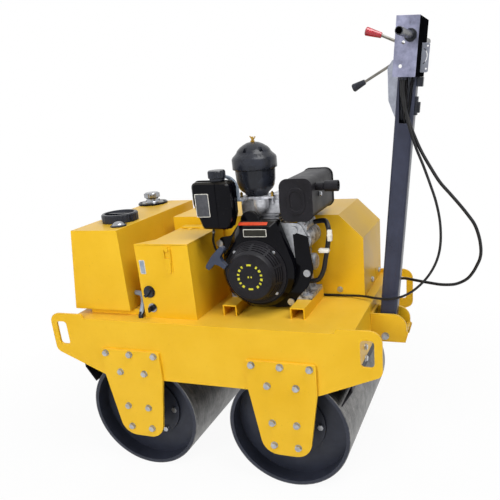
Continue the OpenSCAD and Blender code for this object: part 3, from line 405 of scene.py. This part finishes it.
def addPiece(name, mesh, finish, body, angle=35.0):
    # shades the mesh smooth up to the angle in degrees, and puts it on the body if one is given
    piece = bpy.data.objects.new(name, mesh)
    bpy.context.scene.collection.objects.link(piece)
    mesh.materials.append(finishes[finish])
    mesh.polygons.foreach_set("use_smooth", np.ones(len(mesh.polygons), bool))
    mesh.set_sharp_from_angle(angle=math.radians(angle))
    if body:
        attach(piece, body)
    return piece


def smoothLine(points, step=0.004):
    # Catmull-Rom through the points, then resampled so that its points lie one step apart
    p = np.asarray(points, float)
    q = np.vstack([2 * p[0] - p[1], p, 2 * p[-1] - p[-2]])
    t = np.linspace(0, 1, 16, endpoint=False)[None, :, None]
    a, b, c, d = (q[i:len(q) - 3 + i, None, :] for i in range(4))
    line = 0.5 * (2 * b + (c - a) * t + (2 * a - 5 * b + 4 * c - d) * t ** 2
                  + (3 * b - a - 3 * c + d) * t ** 3)
    line = np.vstack([line.reshape(-1, 3), p[-1]])
    run = np.concatenate([[0], np.cumsum(np.linalg.norm(np.diff(line, axis=0), axis=1))])
    even = np.linspace(0, run[-1], max(8, int(run[-1] / step)))
    return np.column_stack([np.interp(even, run, line[:, k]) for k in range(3)]), run[-1]


def tubeRings(line, radius, sides=16):
    # circles across the line; the side vector is square to a fixed one that the line never runs along
    along = unit(np.gradient(line, axis=0))
    tries = unit(np.array([[1, 0, 0], [0, 1, 0], [0, 0, 1], [1, 1, 0], [1, -1, 0], [0, 1, 1], [0, 1, -1],
                           [1, 0, 1], [1, 0, -1], [1, 1, 1], [1, -1, 1], [-1, 1, 1], [1, 1, -1]], float))
    best = tries[np.argmin(np.abs(along @ tries.T).max(0))]
    side = unit(np.cross(along, best))
    other = np.cross(along, side)
    turn = np.linspace(0, 2 * np.pi, sides, endpoint=False)[None, :, None]
    r = np.broadcast_to(np.asarray(radius, float).reshape(-1, 1, 1), (len(line), 1, 1))
    return line[:, None, :] + r * (np.cos(turn) * side[:, None, :] + np.sin(turn) * other[:, None, :])


def turnedRings(place, axis, profile, shape=None, count=24):
    # A profile of (radius, height) turned about axis from place. Where a third column is above 0,
    # shape(angle) scales the radius round the turn.
    axis = unit(axis)
    side = unit(np.cross(axis, [0.31, 0.17, 0.94] if abs(axis[2]) < 0.9 else [0, 1, 0]))
    other = np.cross(axis, side)
    turn = np.linspace(0, 2 * np.pi, count, endpoint=False)
    profile = np.asarray(profile, float)
    radius = np.repeat(profile[:, 0, None], count, 1)
    if shape:
        radius = radius * np.where(profile[:, 2:3] > 0, shape(turn), 1.0)
    ring = np.cos(turn)[:, None] * side + np.sin(turn)[:, None] * other
    return np.asarray(place, float) + radius[..., None] * ring[None] + profile[:, 1, None, None] * axis


def hexShape(turn):
    # distance to a hexagon's side over the distance to the middle of a side
    return 1 / np.cos((turn + np.pi / 6) % (np.pi / 3) - np.pi / 6)


def boltRings(place, axis, across, height):
    # a bolt head on its washer, in millimetres; the third column says where the outline is the hexagon
    r, h = across / 2, height
    profile = np.array([
        (r * 1.32, 0, 0), (r * 1.32, 1.8, 0), (r * 1.24, 2.1, 0),      # washer
        (r, 2.1, 1), (r, h - 1.2, 1),                                  # hexagon
        (r * 0.98, h, 0), (r * 0.6, h + 0.1, 0), (0.2, h + 0.1, 0)])   # chamfer and top
    profile[:, :2] /= 1000
    return turnedRings(fromMachine(place), axis, profile, hexShape)


def roundedOutline(width, height, radius, count=48):
    # each point is a corner's centre plus the corner radius along its angle
    turn = (np.arange(count) + 0.5) * 2 * np.pi / count
    c, s = np.cos(turn), np.sin(turn)
    return np.column_stack([np.sign(c) * (width / 2 - radius) + radius * c,
                            np.sign(s) * (height / 2 - radius) + radius * s])


def plateRings(centre, across, up, width, height, radius, thick, rim=0.25):
    # a thin plate that stands thick proud along across x up, its outline drawn in by rim at the face
    across, up = unit(across), unit(up)
    out = np.cross(across, up)
    rings = []
    for inset, lift in ((0, 0), (0, thick * 0.7), (rim, thick)):
        outline = roundedOutline(width - 2 * inset, height - 2 * inset, max(radius - inset, 0.3))
        rings.append(fromMachine(centre + (outline @ np.array([across, up])) + lift * out))
    return np.stack(rings)


def sectorRings(centre, inner, outer, middle, half, thick, count=9):
    # part of a flat ring that faces -Y: four corners carried round the arc
    turn = np.radians(np.linspace(middle - half, middle + half, count))
    ray = np.column_stack([np.sin(turn), np.zeros(count), np.cos(turn)])
    lift = np.array([0, -thick, 0])
    corners = [ray * inner, ray * outer, ray * outer + lift, ray * inner + lift]
    return fromMachine(np.asarray(centre, float) + np.stack(corners, 1))


# The two cables come before everything else that is made here. Routes are millimetres, as in the source;
# blend is where a cable stops following the chassis and where it follows the handle.
cableSettings = {
    "driveCable": {
        "node": "drive_cable", "diameter": 10, "blend": ((522, 200, 541), (522, 200, 1255)),
        "route": [
            (620, -43, 1271), (619, -43, 1251), (621, -44, 1228), (629, -45, 1195), (643, -47, 1150),
            (658, -48, 1112), (677, -48, 1070), (703, -48, 1024), (731, -46, 979), (761, -43, 943),
            (790, -40, 908), (814, -35, 876), (834, -30, 845), (848, -21, 803), (854, -10, 762),
            (852, -2, 733), (844, 5, 709), (833, 12, 684), (818, 20, 661), (799, 28, 645), (777, 35, 634),
            (753, 45, 628), (728, 55, 625), (702, 68, 624), (676, 80, 624), (652, 95, 623), (628, 110, 622),
            (605, 130, 619), (584, 150, 612), (567, 168, 600), (556, 182, 582), (548, 192, 562),
            (540, 198, 547), (532, 200, 541), (522, 200, 540)]},
    "throttleCable": {
        "node": "throttle_cable", "diameter": 8, "blend": ((650, -55, 668), (650, -55, 1255)),
        "route": [
            (628, -60, 1270), (626, -60, 1250), (628, -60, 1225), (633, -60, 1190), (644, -61, 1140),
            (662, -60, 1085), (684, -58, 1030), (704, -56, 975), (722, -54, 920), (734, -52, 860),
            (737, -52, 800), (730, -52, 750), (712, -53, 705), (684, -54, 665), (648, -55, 632),
            (610, -54, 612), (570, -50, 603), (530, -36, 600), (490, -14, 597), (455, 2, 593), (415, 9, 590),
            (375, 12, 589), (320, 12, 589), (270, 12, 590), (248, 12, 597), (238, 12, 612), (234, 11, 632),
            (233, 6, 652), (233, -2, 664), (233, -9, 667)]},
}


def makeCable(name, s):
    # one tube along the smooth line through the route
    line, length = smoothLine(fromMachine(s["route"]))
    mesh = shellMesh(name, [tubeRings(line, s["diameter"] / 2000)])
    piece = addPiece(name, mesh, "rubber_sheath", None, 60)
    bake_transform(piece)
    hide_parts(s["node"])
    print(name, round(length, 3), "m")


for cableName, cable in cableSettings.items():
    makeCable(cableName, cable)

# Fixed wiring in a ribbed conduit, and the fuel hose with its two spring clips. Millimetres; the routes
# start from the crankshaft, and a clip's band is (height over the hose, distance along it).
loomSettings = {"diameter": 16, "rib": 4.0, "ribDepth": 0.45, "step": 1.0, "route": [
    (167.3, -60, 137), (182, -61, 139), (198, -68, 143), (214, -84, 143), (224, -98, 129),
    (227, -101, 107), (221, -102, 69), (213, -103, 28), (204, -104, -13), (188, -106, -43),
    (166, -107, -51), (139, -107, -52)]}
hoseSettings = {"diameter": 8, "clipAt": (4, -5), "clipBack": 3.0,
                "clipBand": ((0.1, 0), (1.2, 0.6), (1.2, 5.4), (0.1, 6.0)), "route": [
    (-138, -186, 149.5), (-139, -186, 132), (-149, -176, 102), (-153, -160, 72), (-152, -146, 44),
    (-150, -134, 18), (-143, -124, -10), (-128, -118, -30), (-108, -116, -38), (-93, -116, -39)]}


def makeLoom(s):
    # a tube whose radius falls by the rib's depth along a cosine, one rib after another
    route = np.array(s["route"]) + (crankX, 0, crankZ)
    line, length = smoothLine(fromMachine(route), s["step"] / 1000)
    run = np.linspace(0, length * 1000, len(line))
    radius = (s["diameter"] / 2 - s["ribDepth"] * (0.5 + 0.5 * np.cos(2 * np.pi * run / s["rib"]))) / 1000
    mesh = shellMesh("ribbedLoom", [tubeRings(line, radius)])
    piece = addPiece("ribbedLoom", mesh, "rubber_sheath", "chassis", 60)
    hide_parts("wiring_loom")


def makeHose(s):
    # a plain tube, and a turned band round it near each end
    line, length = smoothLine(fromMachine(np.array(s["route"]) + (crankX, 0, crankZ)))
    radius = s["diameter"] / 2000
    mesh = shellMesh("fuelHoseTube", [tubeRings(line, radius)])
    piece = addPiece("fuelHoseTube", mesh, "rubber_sheath", "chassis", 60)
    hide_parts("fuel_hose")
    band = np.array(s["clipBand"]) / 1000 + (radius, 0)
    clips = []
    for k in s["clipAt"]:
        aim = unit(line[k + 1] - line[k])
        clips.append(turnedRings(line[k] - aim * s["clipBack"] / 1000, aim, band))
    addPiece("hoseClips", shellMesh("hoseClips", clips), "bare_steel", "chassis")


makeLoom(loomSettings)
makeHose(hoseSettings)
print("cables, wiring and hose laid")

# Widths in metres, wide ones for pressed bends. An edge is rounded if it turns by more than sharp, and
# dissolved if it turns by less than flat, in degrees.
edgeSettings = {
    "width": 0.0012, "segments": 2, "weld": 1e-6, "sharp": 32.0, "flat": 1.0,
    "wide": {"fan_shroud": 0.003, "fuel_tank": 0.0025, "belt_cover": 0.002, "muffler": 0.002},
    "madeHere": ("drive_cable", "throttle_cable", "wiring_loom", "fuel_hose"),
}


def easedCopy(nodeName, s):
    # a copy of a node's mesh, merged and cleaned into flat faces, with every sharp edge rounded
    mesh = frame["nodes"][nodeName].data.copy()
    work = bmesh.new()
    work.from_mesh(mesh)
    bmesh.ops.remove_doubles(work, verts=work.verts, dist=s["weld"])
    bmesh.ops.dissolve_limit(work, angle_limit=math.radians(s["flat"]), verts=work.verts, edges=work.edges)
    work.to_mesh(mesh)
    work.free()
    mesh.materials.clear()
    finish = nodeName if nodeName in finishes else slotOf[nodeName]
    piece = addPiece(nodeName + "Finish", mesh, finish, bodyOf[nodeName], s["sharp"])
    bevel = piece.modifiers.new("easedEdges", "BEVEL")
    bevel.width = s["wide"].get(nodeName, s["width"])
    bevel.segments = s["segments"]
    bevel.limit_method = "ANGLE"
    bevel.angle_limit = math.radians(s["sharp"])
    bevel.harden_normals = True
    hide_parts(nodeName)
    return piece


copies = {}
for nodeName in frame["nodes"]:
    if nodeName not in edgeSettings["madeHere"]:
        copies[nodeName] = easedCopy(nodeName, edgeSettings)

# Where a node changes finish, in millimetres: X from the middle between the drums, Y, and height.
changeSettings = {
    "hangerBolts": 331.2,                         # their heads stand out past this Y
    "shroudBolts": ((294, 857), (329, 715), (267, 614), (28, 813)), "shroudBoltReach": 12.5,   # X and height
    "breatherFlange": 889.0 + 8.5, "ventFoot": 889.0 + 6.0,   # above the tank's top
    "drainJoint": 604,                            # pale blue above it and a black hose below
    "headFace": 31.9,                             # u of the head's closed face
    "drumBoltCircle": 100, "drumBoltReach": 13, "drumBoltY": (255.3, 265),
    "wingNut": 962 + 168.5,                       # above the cylinder head's top
    "studX": (220, 112), "studReach": 9, "studY": (-124, -104), "studFoot": 963,
    "archX": 127, "archY": -150.5, "archFoot": 952,           # the pipe from the fuel tank
    "keySwitch": ((-189, 621),), "keyReach": 18, "keyY": (-279, -274.2),
    "travelLever": ((-88, 8, 924), (-136, 8, 937)),           # neck and tip, u, y and s on the handle
    "throttleLever": ((-126, -8, 799), (-162, -8, 780)),
}


def refinish(nodeName, finish, where):
    # gives another finish to the faces whose middles, in millimetres, where() picks
    mesh = copies[nodeName].data
    middles = np.empty(len(mesh.polygons) * 3)
    mesh.polygons.foreach_get("center", middles)
    x, y, z = ((middles.reshape(-1, 3) - [middleX, 0, 0]) * 1000).T
    index = np.empty(len(mesh.polygons), np.int32)
    mesh.polygons.foreach_get("material_index", index)
    mesh.materials.append(finishes[finish])
    picked = where(x, y, z)
    index[picked] = len(mesh.materials) - 1
    mesh.polygons.foreach_set("material_index", index)
    print("  ", nodeName, finish, int(picked.sum()), "faces")


def fromSpots(x, z, spots):
    # distance in X and height to the nearest of the spots: the square root of the squares' sum
    return np.min([np.hypot(x - u, z - v) for u, v in spots], axis=0)


def between(value, limits):
    # strictly inside the two limits
    return (value > limits[0]) & (value < limits[1])


def beforeKnob(neck, tip, gap=0.2):
    # true short of the plane across a lever where its knob starts: (point - neck) . (neck to tip) < -gap
    a, b = fromHandle([neck, tip]) * 1000
    aim = unit(b - a)
    a = a - [middleX * 1000, 0, 0]
    return lambda x, y, z: (np.column_stack([x, y, z]) - a) @ aim < -gap


def changeFinishes(s, drums):
    # the parts of a node that are of another stuff: bolt heads, hoses, nuts, the levers' rods
    refinish("hangers", "bare_steel", lambda x, y, z: np.abs(y) > s["hangerBolts"])
    refinish("fan_shroud", "bare_steel",
             lambda x, y, z: fromSpots(x, z, s["shroudBolts"]) < s["shroudBoltReach"])
    refinish("oil_breather", "gloss_black", lambda x, y, z: z <= s["breatherFlange"])
    refinish("tank_vent", "black_plastic", lambda x, y, z: z < s["ventFoot"])
    refinish("drain_pipe", "paleBlue", lambda x, y, z: z >= s["drainJoint"])
    refinish("drain_pipe", "black_plastic", lambda x, y, z: z < s["drainJoint"])
    # the head's closed face towards +X gets flat black: painted shade
    refinish("control_head", "paintedShadeBlack", lambda x, y, z: acrossHandle(x, z) > s["headFace"])
    for node, axleX in drums["axleX"].items():
        refinish(node, "bare_steel", lambda x, y, z: between(np.abs(y), s["drumBoltY"]) & (
            np.abs(np.hypot(x - axleX, z - drums["axleHeight"]) - s["drumBoltCircle"]) < s["drumBoltReach"]))
    refinish("air_cleaner", "brass", lambda x, y, z: z > s["wingNut"])
    refinish("cylinder_head", "brass", lambda x, y, z: (z > s["studFoot"]) & between(y, s["studY"])
             & (np.min([np.abs(x - u) for u in s["studX"]], axis=0) < s["studReach"]))
    refinish("cylinder_head", "paleBlue",
             lambda x, y, z: (x < s["archX"]) & (y < s["archY"]) & (z > s["archFoot"]))
    refinish("travel_lever", "rodSteel", beforeKnob(*s["travelLever"]))
    refinish("throttle_lever", "rodSteel", beforeKnob(*s["throttleLever"]))
    refinish("box_switches", "chrome_plate",
             lambda x, y, z: (fromSpots(x, z, s["keySwitch"]) < s["keyReach"]) & between(y, s["keyY"]))


changeFinishes(changeSettings, drumSettings)
print("CAD nodes finished")

# u, y and s on the handle, in millimetres
columnSettings = {"liner": (0, 16, 752), "linerSize": (40, 122), "linerCorner": 2, "linerThick": 1.0,
                  "lead": 7, "leadSides": 12, "leads": [
    [(-15, -9, 811), (-13, -10, 780), (-7, -12, 730), (1, -10, 680), (3, -4, 620), (3, 4, 560)],
    [(-4, -4, 811), (-3, -6, 780), (2, -9, 730), (9, -11, 680), (11, -6, 620), (11, 2, 560)],
    [(14, -12, 811), (13, -13, 780), (13, -13, 730), (15, -6, 680), (16, 6, 620), (16, 12, 560)]]}


def makeColumnInside(s):
    # what shows through the window below the head: a pale liner and three leads that run down the column
    a = math.radians(handleLine["lean"])
    centre = (fromHandle(s["liner"])[0] - [middleX, 0, 0]) * 1000
    across, up = (math.cos(a), 0, -math.sin(a)), (math.sin(a), 0, math.cos(a))
    liner = plateRings(centre, across, up, *s["linerSize"], s["linerCorner"], s["linerThick"])
    addPiece("columnLiner", shellMesh("columnLiner", [liner]), "lightGrey", "handle")
    tubes = [tubeRings(smoothLine(fromHandle(lead))[0], s["lead"] / 2000, s["leadSides"])
             for lead in s["leads"]]
    addPiece("columnLeads", shellMesh("columnLeads", tubes), "rubber_sheath", "handle", 60)


# each bolt's place, the way its head points, its size across flats and its height, in millimetres
trimSettings = {
    "coverBolts": ("bare_steel", [
        ((394, 17, 609), (0, -1, 0), 16, 7), ((481, 267, 608), (1, 0, 0), 16, 7),
        ((481, 141, 610), (1, 0, 0), 16, 7), ((513, -144, 468), (1, 0, 0), 17, 8),
        ((513, -144, 427), (1, 0, 0), 17, 8)]),
    "stayBolt": ("chrome_plate", [((366.5, -80, 960), (1, 0, 0), 13, 7)]),
    "recoilBolts": ("bare_steel", [
        ((crankX + 96 * math.cos(math.radians(a)), -194, crankZ + 96 * math.sin(math.radians(a))),
         (0, -1, 0), 9, 4) for a in (45, 135, 315, 225)]),
}


def makeTrim(sets):
    # one piece for each set of bolts
    for name, (finish, bolts) in sets.items():
        mesh = shellMesh(name, [boltRings(*bolt) for bolt in bolts])
        addPiece(name, mesh, finish, "chassis")
    print("trim bolted on")


# millimetres, and degrees from straight up; every second bar is wider
markSettings = {"centre": (crankX, -245.0, crankZ), "inner": 36, "outer": 44, "thick": 0.5,
                "bars": 6, "from": 38, "to": 142, "half": 4.2, "more": 1.6,
                "dashHalf": 11, "dashInset": 1, "middle": (3, 7), "middleHalf": 32}


def makeMarks(s):
    # two printed arcs of plain bars, a broad dash above and below, and a short dash in the middle
    centre, thick, inset = s["centre"], s["thick"], s["dashInset"]
    bars = [sectorRings(centre, s["inner"], s["outer"], side * a, s["half"] + s["more"] * (k % 2), thick)
            for side in (-1, 1) for k, a in enumerate(np.linspace(s["from"], s["to"], s["bars"]))]
    bars += [sectorRings(centre, s["inner"] + inset, s["outer"] - inset, a, s["dashHalf"], thick)
             for a in (0, 180)]
    bars += [sectorRings(centre, *s["middle"], a, s["middleHalf"], thick) for a in (90, 270)]
    addPiece("printedRing", shellMesh("printedRing", bars), "limePrint", "chassis")


# Millimetres. A plate has its centre, the way up along it, its width and height, and the finishes of its
# rim and its field; the strip is one finish all over.
plateSettings = {
    "rimCorner": 3, "rimThick": 0.6, "fieldCorner": 2, "fieldThick": 0.5, "fieldLift": 0.3,
    "fieldSmaller": 4, "across": (1.0, 0, 0),
    "plates": {
        "housingPlate": ((178, -190.2, 859), (0, 0, 1), 80, 25, "ivory", "darkLabel"),
        "tankPlate": ((22.5, -225.2, 956), (0, 0, 1), 48, 74, "ivory", "greyField"),
        "boxPlate": ((-205, -274.2, 764), (0, 0, 1), 21, 48, "ivory", "paleBlue"),
        "housingStrip": ((171, -182.6, 887.6), (0, 0.79, 0.61), 100, 13, "redStrip", None),
    },
}


def makePlates(s):
    # bare plates with nothing on them: a rim, and a smaller field that lies a little proud of it
    across, less = s["across"], s["fieldSmaller"]
    for name, (centre, up, width, height, rim, field) in s["plates"].items():
        rings = plateRings(np.array(centre), across, up, width, height, s["rimCorner"], s["rimThick"])
        addPiece(name + "Rim", shellMesh(name + "Rim", [rings]), rim, "chassis")
        if field:
            raised = np.array(centre) + np.cross(across, up) * s["fieldLift"]
            rings = plateRings(raised, across, up, width - less, height - less, s["fieldCorner"],
                               s["fieldThick"])
            addPiece(name + "Field", shellMesh(name + "Field", [rings]), field, "chassis")


# centre and size of each plug in millimetres; a station is (part of its height, scale of its outline)
plugSettings = {
    "plugs": (((404, -118, 834), (15, 13, 36)), ((384, -122, 786), (34, 13, 14))), "corner": 3,
    "stations": ((0.0, 0.82), (0.04, 0.95), (0.1, 1.0), (0.42, 1.0), (0.45, 1.12), (0.58, 1.12),
                 (0.61, 0.98), (0.94, 0.96), (1.0, 0.84)),
}


def makeConnectors(s):
    # moulded plugs on the wiring: a rounded block with a collar, its scaled outline carried along Z
    shells = []
    for centre, (width, depth, height) in s["plugs"]:
        outline = roundedOutline(width, depth, s["corner"])
        rings = [np.column_stack([outline * scale, np.full(len(outline), (t - 0.5) * height)])
                 + np.array(centre) for t, scale in s["stations"]]
        shells.append(fromMachine(np.stack(rings)))
    addPiece("wiringPlugs", shellMesh("wiringPlugs", shells), "ivory", "chassis")


makeColumnInside(columnSettings)
makeTrim(trimSettings)
makeMarks(markSettings)
makePlates(plateSettings)
makeConnectors(plugSettings)
print("marks, plates and plugs fitted")

# Metres and watts; paper is a linear colour. The world's strength as light is fill times dim away from
# brightSide and fill times bright towards it, as the dot product with the direction goes through turn.
studioSettings = {
    "floor": 12.0, "paper": (0.82, 0.82, 0.82, 1), "floorRoughness": 0.9,
    "shadowShare": 0.06, "shadowFrom": 0.8, "shadowTo": 1.8,
    "fill": 0.46, "dim": 0.5, "bright": 1.9, "brightSide": (-0.05, -0.8, 0.55), "turn": (-0.6, 0.9),
    "lamps": {   # place, aim, power, width, and whether reflections show it
        "keySoftbox": ((-0.9, -4.0, 2.4), (0, 0, 0.6), 128, 2.2, False),
        "backSoftbox": ((-1.6, 3.6, 2.4), (0, 0, 0.6), 72, 2.2, False),
        "topSoftbox": ((1.6, -0.9, 3.3), (0, 0, 0.5), 86, 2.0, True),
    },
}


def whiteRays(tree):
    # 1 for rays from the camera, from a reflection or through glass, which all see the white background
    rays = addNode(tree, "ShaderNodeLightPath")
    eye = addNode(tree, "ShaderNodeMath",
                  {0: rays.outputs["Is Camera Ray"], 1: rays.outputs["Is Glossy Ray"]}, operation="MAXIMUM")
    return addNode(tree, "ShaderNodeMath", {0: eye.outputs[0], 1: rays.outputs["Is Transmission Ray"]},
                   operation="MAXIMUM")


def makeFloor(s):
    # matt paper that still takes a share of shadow near the object and runs out to plain white further off
    size = s["floor"]
    corners = [(-size, -size, 0), (size, -size, 0), (size, size, 0), (-size, size, 0)]
    mesh = bpy.data.meshes.new("floor")
    mesh.from_pydata(corners, [], [(0, 1, 2, 3)])
    floor = bpy.data.objects.new("floor", mesh)
    bpy.context.scene.collection.objects.link(floor)
    material, tree, shader = newMaterial("paperFloor")
    shader.inputs["Roughness"].default_value = s["floorRoughness"]
    shader.inputs["Base Color"].default_value = s["paper"]
    spot = addNode(tree, "ShaderNodeTexCoord").outputs["Object"]
    away = addNode(tree, "ShaderNodeVectorMath", {0: spot}, operation="LENGTH")
    lit = addNode(tree, "ShaderNodeMapRange",
                  {"Value": away.outputs["Value"], "From Min": s["shadowFrom"], "From Max": s["shadowTo"],
                   "To Min": 1 - s["shadowShare"], "To Max": 1.0})
    seen = addNode(tree, "ShaderNodeMath", {0: whiteRays(tree).outputs[0], 1: lit.outputs[0]},
                   operation="MULTIPLY")
    white = addNode(tree, "ShaderNodeEmission", {"Color": (1, 1, 1, 1), "Strength": 1.0})
    both = addNode(tree, "ShaderNodeMixShader",
                   {0: seen.outputs[0], 1: shader.outputs[0], 2: white.outputs[0]})
    tree.links.new(both.outputs[0], tree.nodes["Material Output"].inputs["Surface"])
    mesh.materials.append(material)


def makeWorld(s):
    # plain white to the camera and in reflections; as light it is brighter from the front and above
    world = bpy.data.worlds.new("studio")
    world.use_nodes = True
    bpy.context.scene.world = world
    tree = world.node_tree
    back = tree.nodes["Background"]
    direction = addNode(tree, "ShaderNodeTexCoord").outputs["Generated"]
    facing = addNode(tree, "ShaderNodeVectorMath", {0: direction, 1: s["brightSide"]},
                     operation="DOT_PRODUCT")
    level = addNode(tree, "ShaderNodeMapRange",
                    {"Value": facing.outputs["Value"], "From Min": s["turn"][0], "From Max": s["turn"][1],
                     "To Min": s["dim"] * s["fill"], "To Max": s["bright"] * s["fill"]})
    tree.links.new(level.outputs[0], back.inputs["Strength"])
    shown = addNode(tree, "ShaderNodeBackground", {"Color": (1, 1, 1, 1), "Strength": 1.0})
    both = addNode(tree, "ShaderNodeMixShader",
                   {0: whiteRays(tree).outputs[0], 1: back.outputs[0], 2: shown.outputs[0]})
    tree.links.new(both.outputs[0], tree.nodes["World Output"].inputs["Surface"])


def makeLamps(lamps):
    # square softboxes; the two low ones aren't seen in reflections, so they leave no glare on flat tops
    for name, (place, aim, power, width, reflected) in lamps.items():
        light = bpy.data.lights.new(name, "AREA")
        light.energy, light.size = power, width
        lamp = bpy.data.objects.new(name, light)
        bpy.context.scene.collection.objects.link(lamp)
        lamp.location = place
        lamp.rotation_euler = (Vector(aim) - Vector(place)).to_track_quat("-Z", "Y").to_euler()
        lamp.visible_glossy = reflected


makeFloor(studioSettings)
makeWorld(studioSettings)
makeLamps(studioSettings["lamps"])
bpy.context.scene.view_settings.view_transform = "Standard"
print("studio lit")
